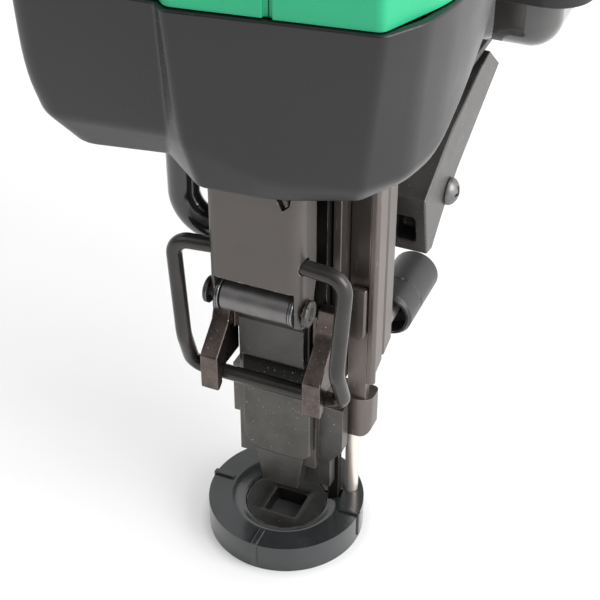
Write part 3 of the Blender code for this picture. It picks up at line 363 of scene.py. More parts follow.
FEEDER_RUBBER = surface(
    "feeder_rubber", (0.020, 0.020, 0.021), 0.36, mottle=0.18, mottle_size=5.0, grain=0.015, specks=0.15,
    wear=0.4
)
GRIP_RUBBER = surface("grip_rubber", (0.017, 0.018, 0.019), 0.6, mottle=0.15, mottle_size=4.0, grain=0.06)
BLACK_PLASTIC = surface(
    "black_plastic", (0.009, 0.0087, 0.009), 0.31, mottle=0.08, mottle_size=18.0, grain=0.010,
    grain_size=0.4, wear=0.1, specular=0.52
)
GLOSSY_PLASTIC = surface(
    "glossy_plastic", (0.016, 0.016, 0.017), 0.12, mottle=0.08, mottle_size=10.0, grain=0.002,
    grain_size=0.8, coat=0.6
)
GREEN_PLASTIC = surface(
    "green_plastic", (0.010, 0.41, 0.19), 0.36, mottle=0.04, mottle_size=20.0, grain=0.01, grain_size=0.4
)
SMOKED_PLASTIC = surface(
    "smoked_plastic", (0.06, 0.058, 0.057), 0.10, mottle=0.1, mottle_size=14.0, grain=0.003,
    grain_size=1.2, coat=0.9
)

FINISH_OF_SLOT = {
    "gunmetal": GUNMETAL,
    "lever_steel": LEVER_STEEL,
    "brown_steel": BROWN_STEEL,
    "bright_steel": BRIGHT_STEEL,
    "black_wire": BLACK_WIRE,
    "rubber": RUBBER,
    "black_plastic": BLACK_PLASTIC,
    "green_plastic": GREEN_PLASTIC,
    "smoked_plastic": SMOKED_PLASTIC,
    "aluminium": ALUMINIUM,
}


# --- building blocks


def mesh_from(name, build):
    body = bmesh.new()
    build(body)
    mesh = bpy.data.meshes.new(name)
    body.to_mesh(mesh)
    body.free()
    return mesh


def draft(name, data, at=(0.0, 0.0, 0.0)):
    """A working object in millimetres. settle() or cut() uses it up."""
    obj = bpy.data.objects.new("draft_" + name, data)
    obj.location = at
    bpy.context.scene.collection.objects.link(obj)
    return obj


def solid_mesh(obj):
    """The object's evaluated mesh in the tool's frame, with doubled points merged and flat faces joined."""
    bpy.context.view_layer.update()
    graph = bpy.context.evaluated_depsgraph_get()
    mesh = bpy.data.meshes.new_from_object(obj.evaluated_get(graph), depsgraph=graph)
    mesh.transform(obj.matrix_world)
    body = bmesh.new()
    body.from_mesh(mesh)
    bmesh.ops.remove_doubles(body, verts=body.verts, dist=0.004)
    bmesh.ops.dissolve_limit(body, angle_limit=math.radians(0.6), verts=body.verts, edges=body.edges)
    body.to_mesh(mesh)
    body.free()
    return mesh


def soften(obj, width, segments=3, angle=30.0):
    rounding = obj.modifiers.new("rounded_edges", "BEVEL")
    rounding.width = width
    rounding.segments = segments
    rounding.limit_method = "ANGLE"
    rounding.angle_limit = math.radians(angle)
    rounding.use_clamp_overlap = True
    return obj


def box(name, low, high, bevel=0.0, segments=3):
    low, high = Vector(low), Vector(high)

    def build(body):
        bmesh.ops.create_cube(body, size=1.0, matrix=Matrix.Diagonal((*(high - low), 1.0)))

    obj = draft(name, mesh_from(name, build), (low + high) / 2)
    return soften(obj, bevel, segments) if bevel else obj


TURN = {"X": Matrix.Rotation(math.pi / 2, 4, "Y"), "Y": Matrix.Rotation(-math.pi / 2, 4, "X"), "Z": Matrix()}


def rod(name, axis, centre, radius, length, segments=48, bevel=0.0):
    def build(body):
        sizes = {"radius1": radius, "radius2": radius, "depth": length, "segments": segments}
        bmesh.ops.create_cone(body, cap_ends=True, matrix=TURN[axis], **sizes)

    obj = draft(name, mesh_from(name, build), centre)
    return soften(obj, bevel, 3) if bevel else obj


def turned(name, axis, centre, profile, steps=96):
    """A turned shape. The profile is (radius, height) points, down the outer side, and a ring's is closed."""
    is_ring = min(radius for radius, _ in profile) > 0
    mesh = bpy.data.meshes.new(name)
    count = len(profile)
    edges = [(i, (i + 1) % count) for i in range(count if is_ring else count - 1)]
    mesh.from_pydata([(radius, 0.0, height) for radius, height in profile], edges, [])
    obj = draft(name, mesh, centre)
    obj.rotation_euler = TURN[axis].to_euler()
    spin = obj.modifiers.new("turned", "SCREW")
    spin.steps = steps
    spin.render_steps = steps
    spin.use_merge_vertices = True
    spin.merge_threshold = 0.005
    return obj


PLANES = {
    "XY": Matrix(),
    "YZ": Matrix(((0, 0, 1, 0), (1, 0, 0, 0), (0, 1, 0, 0), (0, 0, 0, 1))),
    "XZ": Matrix(((1, 0, 0, 0), (0, 0, -1, 0), (0, 1, 0, 0), (0, 0, 0, 1))),
}
THROUGH = {"XY": (0, 0, 1), "YZ": (1, 0, 0), "XZ": (0, 1, 0)}


def plate(name, plane, outline, start, end):
    """A flat outline in one of the frame's planes, extruded from start to end across that plane."""
    half = abs(end - start) / 2

    def build(body):
        low = [body.verts.new((u, v, -half)) for u, v in outline]
        high = [body.verts.new((u, v, half)) for u, v in outline]
        body.faces.new(low)
        body.faces.new(high)
        for i in range(len(outline)):
            j = (i + 1) % len(outline)
            body.faces.new((low[i], low[j], high[j], high[i]))
        bmesh.ops.recalc_face_normals(body, faces=body.faces)

    mesh = mesh_from(name, build)
    mesh.transform(PLANES[plane])
    if PLANES[plane].determinant() < 0:
        mesh.flip_normals()
    return draft(name, mesh, Vector(THROUGH[plane]) * (start + end) / 2)


def skin(name, rings, closed=False):
    """A skin over rings of points: closed from its last ring back to its first, or else with capped ends."""

    def build(body):
        made = [[body.verts.new(point) for point in ring] for ring in rings]
        pairs = list(zip(made, made[1:])) + ([(made[-1], made[0])] if closed else [])
        for lower, upper in pairs:
            for i in range(len(lower)):
                j = (i + 1) % len(lower)
                body.faces.new((lower[i], lower[j], upper[j], upper[i]))
        if not closed:
            body.faces.new(made[-1])
            body.faces.new(list(reversed(made[0])))
        bmesh.ops.recalc_face_normals(body, faces=body.faces)

    return draft(name, mesh_from(name, build))


def combine(obj, operation, others):
    for other in others:
        step = obj.modifiers.new(other.name, "BOOLEAN")
        step.operation = operation
        step.solver = "EXACT"
        step.object = other
    mesh = solid_mesh(obj)
    obj.modifiers.clear()
    obj.data = mesh
    obj.matrix_world = Matrix()
    for other in others:
        bpy.data.objects.remove(other)
    return obj


def cut(obj, *others):
    return combine(obj, "DIFFERENCE", others)


def join(obj, *others):
    return combine(obj, "UNION", others)


def settle(name, obj, material, body, bevel=0.0, segments=3, angle=30.0):
    """Turns a draft into a finished piece in the row frame, with rounded edges and even shading."""
    mesh = solid_mesh(obj)
    bpy.data.objects.remove(obj)
    mesh.transform(TO_ROW)
    mesh.name = name
    mesh.materials.clear()
    mesh.materials.append(material)
    mesh.shade_smooth()
    mesh.set_sharp_from_angle(angle=math.radians(angle))
    piece = bpy.data.objects.new(name, mesh)
    bpy.context.scene.collection.objects.link(piece)
    if bevel:
        soften(piece, bevel * MM, segments, angle)
        even = piece.modifiers.new("even_shading", "WEIGHTED_NORMAL")
        even.keep_sharp = True
    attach(piece, body)
    return piece


def fine(node, obj, material=None, bevel=0.0, segments=3, angle=30.0):
    """The fine shape that stands for a CAD node."""
    slot = SLOT_OF[node]
    finish = material or FINISH_OF_SLOT[slot]
    piece = settle("fine_" + node, obj, finish, BODY_OF[node], bevel, segments, angle)
    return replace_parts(piece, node)


def arc(centre, radius, start, end, steps=12):
    turn = [math.radians(start + (end - start) * k / steps) for k in range(steps + 1)]
    return [(centre[0] + radius * math.cos(a), centre[1] + radius * math.sin(a)) for a in turn]


def bowed(before, corner, after, reach, steps):
    """Points that round a corner, from reach before it to reach after it."""
    back, ahead = before - corner, after - corner
    start = corner + back * min(reach / max(back.length, 0.001), 0.48)
    end = corner + ahead * min(reach / max(ahead.length, 0.001), 0.48)
    points = []
    for k in range(steps + 1):
        t = k / steps
        points.append(start * (1 - t) ** 2 + corner * 2 * t * (1 - t) + end * t * t)
    return points


def rounded_ring(ring, reaches, steps=6):
    ring = [Vector(point) for point in ring]
    reaches = reaches if isinstance(reaches, (list, tuple)) else [reaches] * len(ring)
    points = []
    for i, reach in enumerate(reaches):
        points += bowed(ring[i - 1], ring[i], ring[(i + 1) % len(ring)], reach, steps)
    return points


def rounded_line(line, reaches, steps=6):
    line = [Vector(point) for point in line]
    points = [line[0]]
    for i, reach in enumerate(reaches, start=1):
        points += bowed(line[i - 1], line[i], line[i + 1], reach, steps)
    return points + [line[-1]]


def swept(rings, reaches, closed, steps=5):
    """Rounds the run of each ring point along a list of rings, and gives the longer list of rings back."""
    columns = list(zip(*rings))
    rounding = rounded_ring if closed else rounded_line
    return [list(ring) for ring in zip(*(rounding(column, reaches, steps) for column in columns))]


def rounded_path(corners, radii, steps=10):
    """A polyline whose inner corners are replaced by arcs of the given radii."""
    corners = [Vector(corner) for corner in corners]
    path = [corners[0]]
    for before, corner, after, radius in zip(corners, corners[1:], corners[2:], radii):
        back = (before - corner).normalized()
        ahead = (after - corner).normalized()
        half = back.angle(ahead) / 2
        middle = corner + (back + ahead).normalized() * radius / math.sin(half)
        first = corner + back * radius / math.tan(half) - middle
        last = corner + ahead * radius / math.tan(half) - middle
        path += [middle + first.slerp(last, k / steps) * radius for k in range(steps + 1)]
    return path + [corners[-1]]


def tube(name, path, radius, sides=24, ends=0.4):
    """A round wire along a path, with slightly rounded ends."""
    path = [Vector(point) for point in path]
    forward = [(path[min(i + 1, len(path) - 1)] - path[max(i - 1, 0)]).normalized() for i in range(len(path))]
    across = forward[0].orthogonal().normalized()
    rings = []
    for i, (point, ahead) in enumerate(zip(path, forward)):
        across = (across - ahead * across.dot(ahead)).normalized()
        up = ahead.cross(across)
        turn = [2 * math.pi * k / sides for k in range(sides)]
        ring = [point + (across * math.cos(a) + up * math.sin(a)) * radius for a in turn]
        if i in (0, len(path) - 1):
            side = 1 if i == 0 else -1
            narrow = [point + (spot - point) * (1 - ends / radius) for spot in ring]
            full = [spot + ahead * ends * side for spot in ring]
            rings += [narrow, full] if i == 0 else [full, narrow]
        else:
            rings.append(ring)
    return skin(name, rings)


def inset(ring, distance, lift=0.0):
    """Moves a ring's plan outline inwards by a distance, and its points up by lift."""
    flat = [Vector(point[:2]) for point in ring]
    count = len(flat)
    turn = sum(spot.cross(flat[(i + 1) % count]) for i, spot in enumerate(flat))
    side = 1.0 if turn > 0 else -1.0
    moved = []
    for i, corner in enumerate(flat):
        one = (corner - flat[i - 1]).normalized()
        two = (flat[(i + 1) % count] - corner).normalized()
        normal_one = Vector((-one.y, one.x)) * side
        normal_two = Vector((-two.y, two.x)) * side
        mitre = (normal_one + normal_two).normalized()
        spot = corner + mitre * distance / max(mitre.dot(normal_one), 0.5)
        moved.append((spot.x, spot.y, ring[i][2] + lift))
    return moved


def scaled(ring, factor, height, middle=(-6.0, 4.0)):
    """The ring's plan outline drawn in about a middle point, at a new height."""
    x_mid, y_mid = middle
    return [(x_mid + (x - x_mid) * factor, y_mid + (y - y_mid) * factor, height) for x, y, _ in ring]


def parted(whole, seam_x, gap=GAP):
    """Cuts a draft down the plane x = seam_x, and gives back its left and right halves."""
    reach = 400.0
    mesh = solid_mesh(whole)
    bpy.data.objects.remove(whole)
    right_side = box("side", (seam_x - gap / 2, -reach, -reach), (reach, reach, reach))
    left = cut(draft("left", mesh), right_side)
    left_side = box("side", (-reach, -reach, -reach), (seam_x + gap / 2, reach, reach))
    return left, cut(draft("right", mesh.copy()), left_side)


# --- contact ring and trip


def contact_ring():
    profile = [
        (RING_RADIUS, RING_HEIGHT),
        (RING_RADIUS, 0.0),
        (8.9, 0.0),
        (8.9, 4.4),
        (12.1, 4.4),
        (12.1, 6.5),
        (13.0, 6.9),
        (14.5, 8.0),
        (16.5, RING_HEIGHT),
    ]
    ring = turned("ring", "Z", (0, 0, 0), profile, 112)
    inner, outer, half = 17.0, RING_RADIUS + 0.5, 0.95
    ribs = []
    for turn in range(4):
        rib = box("rib", (inner, -half, 1.2), (outer, half, RING_HEIGHT + 0.8), 0.4, 3)
        rib.matrix_world = Matrix.Rotation(math.pi / 2 * turn, 4, "Z") @ Matrix.Translation(rib.location)
        ribs.append(rib)
    join(ring, *ribs)
    pocket = box("pocket", (7.0, 4.9, 4.45), (15.2, 7.9, 12.0))
    socket = rod("socket", "Z", (*ROD_AT, 7.0), 2.3, 8.0)
    fine("base_ring", cut(ring, pocket, socket), RUBBER, 0.45, 3)


def contact_foot():
    top = 6.3
    profile = [(0, top), (11.8, top), (11.8, 4.7), (8.6, 4.7), (8.6, 0.5), (0, 0.5)]
    foot = turned("foot", "Z", (0, 0, 0), profile, 80)
    tab = box("tab", (9.0, 5.3, 4.75), (14.4, 7.5, 6.25))
    post = box("post", (11.2, 5.3, 4.75), (14.4, 7.5, 33.0))
    square = [(-1, -1), (1, -1), (1, 1), (-1, 1)]
    steps = ((FOOT_BORE, -2.0), (FOOT_BORE, top - 1.0), (FOOT_MOUTH, top), (FOOT_MOUTH, top + 2.0))
    squares = [[(x * half, y * half, z) for x, y in square] for half, z in steps]
    bore = skin("bore", [rounded_ring(ring, 0.9, 4) for ring in squares])
    fine("contact_foot", cut(join(foot, tab, post), bore), FOOT_STEEL, 0.22, 3)


def contact_arm():
    corner, bottom = 3.2, 34.0
    outline = [(12.6, COLLAR_TOP), (23.4, COLLAR_TOP)]
    outline += list(reversed(arc((23.4 - corner, bottom + corner), corner, -90, 0)))
    outline += list(reversed(arc((12.6 + corner, bottom + corner), corner, 180, 270)))
    arm = plate("arm", "XZ", outline, 5.4, 13.2)
    collar = [(12.6, 5.4, 0), (23.4, 5.4, 0), (23.4, 13.2, 0), (12.6, 13.2, 0)]
    plan = rounded_ring(collar, [3.0, 4.4, 2.0, 0.6], 10)
    combine(arm, "INTERSECT", [plate("plan", "XY", [(p.x, p.y) for p in plan], 20.0, 60.0)])
    strip = box("strip", (TRACK_X[0] + GAP, 6.3, COLLAR_TOP - 4), (TRACK_X[1] - GAP, 9.3, ARM_TOP))
    side = TRACK_X[1] - GAP
    lug_left, lug_top, lug_low = 16.8, 86.0, 71.5
    half = (side - lug_left) / 2
    turn = list(reversed(arc((lug_left + half, lug_low), half, 180, 360)))
    lug = plate("lug", "XZ", [(lug_left, lug_top), (side, lug_top)] + turn, 4.2, 6.3)
    settle("strip_lug", lug, RAIL_STEEL, BODY_OF["contact_arm"], 0.7)
    hollow = rod("rod_hole", "Z", (*ROD_AT, 36.0), 2.3, 12.0)
    slot = box("post_slot", (10.9, 5.0, 30.0), (14.7, 7.8, 38.0))
    fine("contact_arm", cut(join(arm, strip), hollow, slot), TRIP_STEEL, 0.28, 3)
    fine("contact_rod", rod("rod", "Z", (*ROD_AT, 22.5), 2.0, 38.4), BRIGHT_STEEL, 0.3)


# --- nose and latch


def nose():
    body = box("nose", (-12.5, NOSE_FRONT, 55.0), (13.3, 16.0, 131.0))
    middle = box("middle", (-14.8, NOSE_FRONT + 0.2, 39.0), (10.5, 12.0, 56.0))
    lower = box("lower", (-13.0, NOSE_FRONT + 0.1, 25.0), (10.4, 11.8, 40.0))
    outline = [(9.0, 47.0), (17.6, 47.0), (17.6, 32.0), (14.2, 27.2), (9.0, 27.2)]
    flange = plate("flange", "XZ", outline, -0.5, 3.5)
    wing = box("wing", (4.9, 1.0, 15.6), (13.4, 4.8, 26.3))
    tip = skin(
        "tip",
        [
            [(-5.3, -4.5, 16.8), (5.3, -4.5, 16.8), (5.3, 5.2, 16.8), (-5.3, 5.2, 16.8)],
            [(-7.0, -4.5, 26.9), (7.0, -4.5, 26.9), (7.0, 6.0, 26.9), (-7.0, 6.0, 26.9)],
            [(-7.4, -4.5, 29.6), (7.4, -4.5, 29.6), (7.4, 6.0, 29.6), (-7.4, 6.0, 29.6)],
        ],
    )
    join(body, middle, lower, flange, wing, tip)
    channel = box("channel", (-4.3, -8.0, 29.5), (4.3, 4.3, 135.0))
    nail_exit = box("nail_exit", (-3.9, -3.3, 10.0), (3.9, 3.9, 33.0))
    feed_slot = box("feed_slot", (-4.2, 3.0, 42.0), (4.2, 20.0, 75.5))
    fine("nose_body", cut(body, channel, nail_exit, feed_slot), NOSE_STEEL, 0.45)


def front_guide():
    outline = [(-GUIDE_HALF, 88.0), (-GUIDE_HALF, 35.0), (-8.3, 31.4), (-6.0, 30.0)]
    outline += [(8.2, 30.0), (GUIDE_HALF, 32.0), (GUIDE_HALF, 88.0)]
    guide = plate("guide", "XZ", outline, GUIDE_FRONT, NOSE_FRONT - GAP)
    fine("front_guide", guide, DOOR_STEEL, 0.5)


def hooks():
    outline = [
        (-17.3, 57.6),
        (-17.3, 68.2),
        (-9.6, 75.2),
        (-8.2, 79.0),
        (-6.6, 85.0),
        (NOSE_FRONT - GAP, 85.0),
        (NOSE_FRONT - GAP, 62.9),
        (-12.6, 62.9),
        (-14.2, 61.4),
        (-14.2, 58.4),
        (-16.4, 56.9),
    ]
    for node, side in (("latch_hook_left", -1), ("latch_hook_right", 1)):
        ends = sorted((side * HOOK_INNER, side * HOOK_OUTER))
        hook = plate(node, "YZ", outline, *ends)
        near, far = sorted((side * (GUIDE_HALF + GAP), side * (HOOK_INNER + 1.0)))
        join(hook, box("root", (near, -6.0, 72.0), (far, NOSE_FRONT - GAP - 1.0, 82.0)))
        fine(node, hook, BROWN_STEEL, 0.45, 4)


def latch_bracket():
    outline = [(-16.4, 87.6), (-9.0, 78.0), (-9.0, 66.0), (-8.2, 65.0)]
    outline += [(-6.8, 65.0), (-6.8, 81.0), (-14.0, 92.6)]
    bracket = plate("bracket", "YZ", outline, -9.3, 9.3)
    fine("latch_bracket", cut(bracket, rod("bore", "X", (0, PIN_Y, PIN_Z), 3.9, 40.0, 64)), GUIDE_STEEL, 0.3)
    profile = [(2.0, 9.6), (2.0, -9.6), (3.7, -9.6), (4.1, -9.2), (4.1, 9.2), (3.7, 9.6)]
    roller = turned("roller", "X", (0, PIN_Y, PIN_Z), profile, 72)
    settle("bracket_barrel", roller, ROLLER_STEEL, BODY_OF["latch_bracket"])


def latch_pin():
    end, head = 14.5, 3.6
    profile = [(0, end - 0.5), (1.5, end - 0.5), (1.8, end), (head - 0.3, end), (head, end - 0.3)]
    profile += [(head, 13.3), (1.7, 13.3)]
    profile += [(radius, -height) for radius, height in reversed(profile)]
    fine("latch_pin", turned("pin", "X", (0, PIN_Y, PIN_Z), profile, 48), GUIDE_STEEL)
    for node, side in (("latch_washer_left", -1), ("latch_washer_right", 1)):
        low, high = sorted((side * 9.75, side * 10.75))
        middle = (low + high) / 2
        profile = [(4.3, high), (4.4, high - 0.1), (4.4, middle + 0.1), (3.9, middle), (4.4, middle - 0.1)]
        profile += [(4.4, low + 0.1), (4.3, low), (2.0, low), (2.0, high)]
        fine(node, turned("washer", "X", (0, PIN_Y, PIN_Z), profile, 64), WASHER_STEEL)


def latch_lever():
    outline = [(-9.5, LEVER_TOP), (LEVER_FRONT, LEVER_TOP), (LEVER_FRONT, 98.0)]
    outline += arc((PIN_Y, PIN_Z), 4.6, 165, 345, 28)
    outline += [(-9.5, 97.0)]
    blank = plate("lever", "YZ", outline, -LEVER_HALF, LEVER_HALF)
    front = [(-LEVER_HALF, LEVER_FRONT, 0.0), (LEVER_HALF, LEVER_FRONT, 0.0)]
    back = [(LEVER_HALF, 0.0, 0.0), (-LEVER_HALF, 0.0, 0.0)]
    bends = rounded_ring(front + back, [4.2, 4.2, 0.1, 0.1], 10)
    envelope = plate("envelope", "XY", [(p.x, p.y) for p in bends], 70.0, 140.0)
    combine(blank, "INTERSECT", [envelope])
    inner = LEVER_HALF - SHEET
    channel = box("channel", (-inner, LEVER_FRONT + SHEET, 80.0), (inner, 0.0, 140.0))
    window = box("window", (-inner, -30.0, 80.0), (inner, 0.0, 97.3))
    pin_hole = rod("pin_hole", "X", (0, PIN_Y, PIN_Z), 2.0, 40.0, 32)
    bail_hole = rod("bail_hole", "X", (0, BAIL_Y, BAIL_Z), WIRE_RADIUS + GAP, 40.0, 32)
    notch = plate("notch", "XZ", [(4.0, 130.0), (11.5, 130.0), (10.0, 123.0), (8.2, 121.4)], -25.0, -15.0)
    fine("latch_lever", cut(blank, channel, window, pin_hole, bail_hole, notch), LEVER_STEEL, 0.35)


def bail():
    side = [
        (10.6, BAIL_Y, BAIL_Z),
        (BAIL_HALF, BAIL_Y - 0.5, BAIL_Z - 0.8),
        (BAIL_HALF - 1.9, -17.0, 74.0),
        (BAIL_HALF - 1.4, BAR_Y, BAR_Z),
    ]
    corners = side + [(-x, y, z) for x, y, z in reversed(side)]
    path = rounded_path(corners, (4.6, 12.0, 4.2, 4.2, 12.0, 4.6), 12)
    fine("wire_bail", tube("bail", path, WIRE_RADIUS, 32), BLACK_WIRE)


def rail():
    outline = [
        (13.6, 0.0),
        (TRACK_X[0], 0.0),
        (TRACK_X[0], 9.6),
        (TRACK_X[1], 9.6),
        (TRACK_X[1], 5.2),
        (23.4, 5.2),
        (24.2, 6.0),
        (24.2, 11.2),
        (23.7, 11.6),
        (23.7, 12.4),
        (24.2, 12.8),
        (24.2, 18.4),
        (13.6, 18.4),
    ]
    piece = plate("rail", "XY", outline, 54.0, 126.0)
    foot = plate("foot", "YZ", [(7.0, 50.0), (7.0, 57.5), (19.0, 62.0), (19.0, 50.0)], 21.4, 30.0)
    fine("side_rail", cut(piece, foot), RAIL_STEEL, 0.25)


def guard():
    path = rounded_path([(-26, -5, 141), (-26, -5, 102.5), (-12.9, -5, 102.5)], (9.0,), 20)
    fine("lead_guard", tube("guard", path, 4.2, 32), GLOSSY_PLASTIC)


# --- feed


def feed_chute():
    outline = [(17.9, 40.0), (17.9, 78.0), (60.6, 167.0), (60.6, 127.0), (30.0, 52.0)]
    chute = plate("chute", "YZ", outline, -CHUTE_HALF, CHUTE_HALF)
    outline = [(10.0, 44.0), (10.0, 60.0), (17.0, 72.0), (66.0, 173.0)]
    outline += [(66.0, 145.5), (27.0, 56.0), (15.0, 44.0)]
    tunnel = plate("tunnel", "YZ", outline, -4.8, 4.8)
    window = plate("window", "YZ", [(23, 54), (23, 74), (42, 112), (42, 96), (31, 70)], -12.0, -3.0)
    slot = box("slot", (3.0, 17.0, 56.7), (12.0, 28.7, 66.3))
    fine("feed_chute", cut(chute, tunnel, window, slot), GUNMETAL, 0.5)


def feed_door():
    outline = [(20.0, 46.0), (20.0, 80.0), (44.0, 130.0), (44.0, 91.0), (31.0, 59.0)]
    door = plate("door", "YZ", outline, -11.6, -CHUTE_HALF - GAP)
    fine("feed_door", door, GUNMETAL, 0.5)


def feeder():
    x, z = FEEDER_AT
    profile = [(0, 53.0), (6.0, 53.0), (7.0, 52.0), (7.0, 37.6), (6.85, 37.4), (6.85, 37.1), (7.0, 36.9)]
    profile += [(7.0, 29.0), (6.3, 28.0), (5.6, 28.0), (5.2, 33.0), (2.8, 33.2), (2.8, 47.0), (0, 47.0)]
    cylinder = turned("cylinder", "Y", (x, 0, z), profile, 72)
    join(cylinder, box("lug", (CHUTE_HALF + GAP, 37.0, 57.0), (15.0, 47.0, 66.0)))
    fine("feeder_cylinder", cylinder, FEEDER_RUBBER, 0.3)


def arm():
    outline = [
        (31.0, 99.7),
        (52.2, 110.9),
        (76.0, 118.8),
        (84.9, 120.4),
        (96.4, 111.4),
        (60.0, 94.6),
        (48.1, 86.5),
        (39.8, 79.4),
        (35.4, 80.1),
    ]
    piece = plate("arm", "YZ", outline, 14.0, ARM_FACE)
    lug = box("lug", (CHUTE_HALF + GAP, 39.0, 92.0), (15.0, 52.0, 106.0))
    window = box("window", (18.0, 20.0, 84.0), (24.5, 42.0, 93.0), 1.2, 4)
    fine("bracket_arm", cut(join(piece, lug), window), ARM_STEEL, 0.5)


def arm_screw():
    head, rise = 4.1, 2.9
    dome = [(head * math.sin(a), rise * math.cos(a)) for a in (0.3, 0.6, 0.9, 1.2, 1.4)]
    profile = [(0, rise), *dome, (head, 0.0), (0, 0.0)]
    screw = turned("screw", "X", (ARM_FACE + GAP, 52.0, 91.6), profile, 48)
    slot_one = box("slot_one", (ARM_FACE + 2.0, 49.8, 91.1), (ARM_FACE + 5.0, 54.2, 92.1))
    slot_two = box("slot_two", (ARM_FACE + 2.0, 51.5, 89.4), (ARM_FACE + 5.0, 52.5, 93.8))
    fine("arm_screw", cut(screw, slot_one, slot_two), ROLLER_STEEL, 0.12, 2)


# --- canister


def corner_outline(left, front, right, back, corner):
    """A plan outline with its front right corner rounded."""
    turn = arc((right - corner, front + corner), corner, -90, 0, 12)
    return [(left, back), (left, front)] + turn + [(right, back)]


def canister_bowl(name, wall):
    """A round drum with a squared front right corner, a solid that lies a wall inside the outer surface."""
    x, y = CANISTER_AT
    above = CANISTER_TOP + 20.0
    radius, corner, bottom = CANISTER_RADIUS - wall, 9.0 - wall, CANISTER_BOTTOM + wall
    turn = list(reversed(arc((radius - corner, bottom + corner), corner, -90, 0, 10)))
    drum = turned(name, "Z", (x, y, 0), [(0, above), (radius, above)] + turn + [(0, bottom)], 128)
    low = (x + 4.0, CORNER_FRONT + wall, bottom)
    high = (CORNER_RIGHT - wall, y + 8.0 - wall, above - 1.0)
    return join(drum, box(name + "_corner", low, high, corner, 8))


def canister():
    x, y = CANISTER_AT
    drum = canister_bowl("drum", 0.0)
    above = box("above", (x - 70, y - 70, CANISTER_TOP), (x + 70, y + 70, CANISTER_TOP + 40))
    mouth = box("mouth", (x - 5.5, y - 60, CANISTER_BOTTOM + 3), (x + 5.5, y - 40, CANISTER_TOP + 5))
    cut(drum, canister_bowl("hollow", WALL), above, mouth)
    rim_plate = plate("rim", "XY", corner_outline(22.0, RIM_FRONT, RIM_RIGHT, y + 6.0, 12.0), *RIM_Z)
    rim = cut(rim_plate, canister_bowl("within", -0.02))
    settle("drum_rim", rim, BLACK_PLASTIC, BODY_OF["canister_cover"], 0.5)
    base, cover = parted(drum, x)
    bore = ("hinge_bore", "Z", (x, CANISTER_PIN_Y, 150.0), 2.3, 60.0)
    knuckle = rod("knuckle", "Z", (x, CANISTER_PIN_Y, 150.0), 3.8, 16.0)
    strap = box("strap", (x + 0.6, 155.0, 142.5), (x + 5.0, 160.5, 157.5))
    guide = box("guide", (12.0, 61.0, 152.5), (18.0, 66.5, 162.0))
    fine("canister_cover", cut(join(cover, knuckle, strap, guide), rod(*bore)), SMOKED_PLASTIC, 0.35)
    for height in (138.8, 161.2):
        strap = box("strap", (x - 5.0, 155.0, height - 2.4), (x - 0.6, 160.5, height + 2.4))
        join(base, rod("knuckle", "Z", (x, CANISTER_PIN_Y, height), 3.8, 5.6), strap)
    fine("canister_base", cut(base, rod(*bore)), SMOKED_PLASTIC, 0.35)


def canister_lid():
    x, y = CANISTER_AT
    turn = list(reversed(arc((46.0, 172.6), 3.4, 0, 80, 8)))
    profile = [(0, 176.0), (46.0, 176.0), *turn, (49.0, 170.9), (48.0, 170.3), (0, 170.3)]
    lid = turned("lid", "Z", (x, y, 0), profile, 128)
    tab = box("tab", (-18.0, 46.0, 171.0), (18.0, 70.0, 177.2), 1.5, 3)
    ear = box("ear", (x - 4.5, 150.0, 171.0), (x + 4.5, 165.0, 175.4), 1.5, 3)
    outline = corner_outline(x + 4.0, CORNER_FRONT - 1.9, CORNER_RIGHT + 1.9, y + 8.0, 10.0)
    corner = plate("corner", "XY", outline, 170.3, 175.4)
    fine("canister_lid", join(lid, corner, tab, ear), BLACK_PLASTIC, 0.3)


def canister_latch():
    latch_piece = box("latch", (11.0, 57.0, 148.0), (19.0, 60.7, 169.6))
    grooves = [box("groove", (10.0, 56.5, z), (20.0, 57.5, z + 0.9)) for z in (160.0, 162.2, 164.4, 166.6)]
    fine("canister_latch", cut(latch_piece, *grooves), BLACK_PLASTIC, 0.35)


# --- housing


HOUSING_LIP = [
    (-45.5, -24.0, 130.6),
    (-21.0, -20.5, 131.0),
    (-9.2, -28.2, 128.6),
    (9.0, -23.8, 126.8),
    (27.5, -19.2, 128.8),
    (34.6, -10.0, 130.3),
    (38.4, 1.5, 131.8),
    (39.2, 15.0, 141.0),
    (39.2, 28.0, 150.0),
    (38.5, HOUSING_BACK, 157.0),
    (-48.0, HOUSING_BACK, 143.0),
    (-53.0, 32.0, 140.0),
    (-53.0, -9.0, 136.0),
]
HOUSING_CREASE = [
    (-52.2, -28.2, 139.0),
    (-18.0, -26.3, 140.0),
    (-11.8, -30.3, 141.0),
    (9.0, -26.2, 132.5),
    (29.0, -21.5, 133.0),
    (36.8, -11.5, 133.5),
    (40.0, 1.0, 135.5),
    (41.0, 14.0, 143.5),
    (41.0, 28.0, 152.0),
    (40.2, HOUSING_BACK, 160.0),
    (-50.0, HOUSING_BACK, 147.0),
    (-56.0, 32.0, 144.0),
    (-56.0, -9.0, 143.0),
]
HOUSING_WAIST = [
    (-55.8, -29.2, 150.0),
    (-17.8, -27.2, 150.0),
    (-13.2, -30.7, 150.5),
    (9.2, -26.6, 150.0),
    (31.2, -22.6, 150.0),
    (38.0, -12.5, 150.0),
    (41.4, 0.0, 152.0),
    (42.4, 14.0, 156.0),
    (42.4, 28.0, 162.0),
    (42.0, HOUSING_BACK, 166.0),
    (-51.0, HOUSING_BACK, 156.0),
    (-57.0, 32.0, 154.0),
    (-57.0, -10.0, 152.0),
]
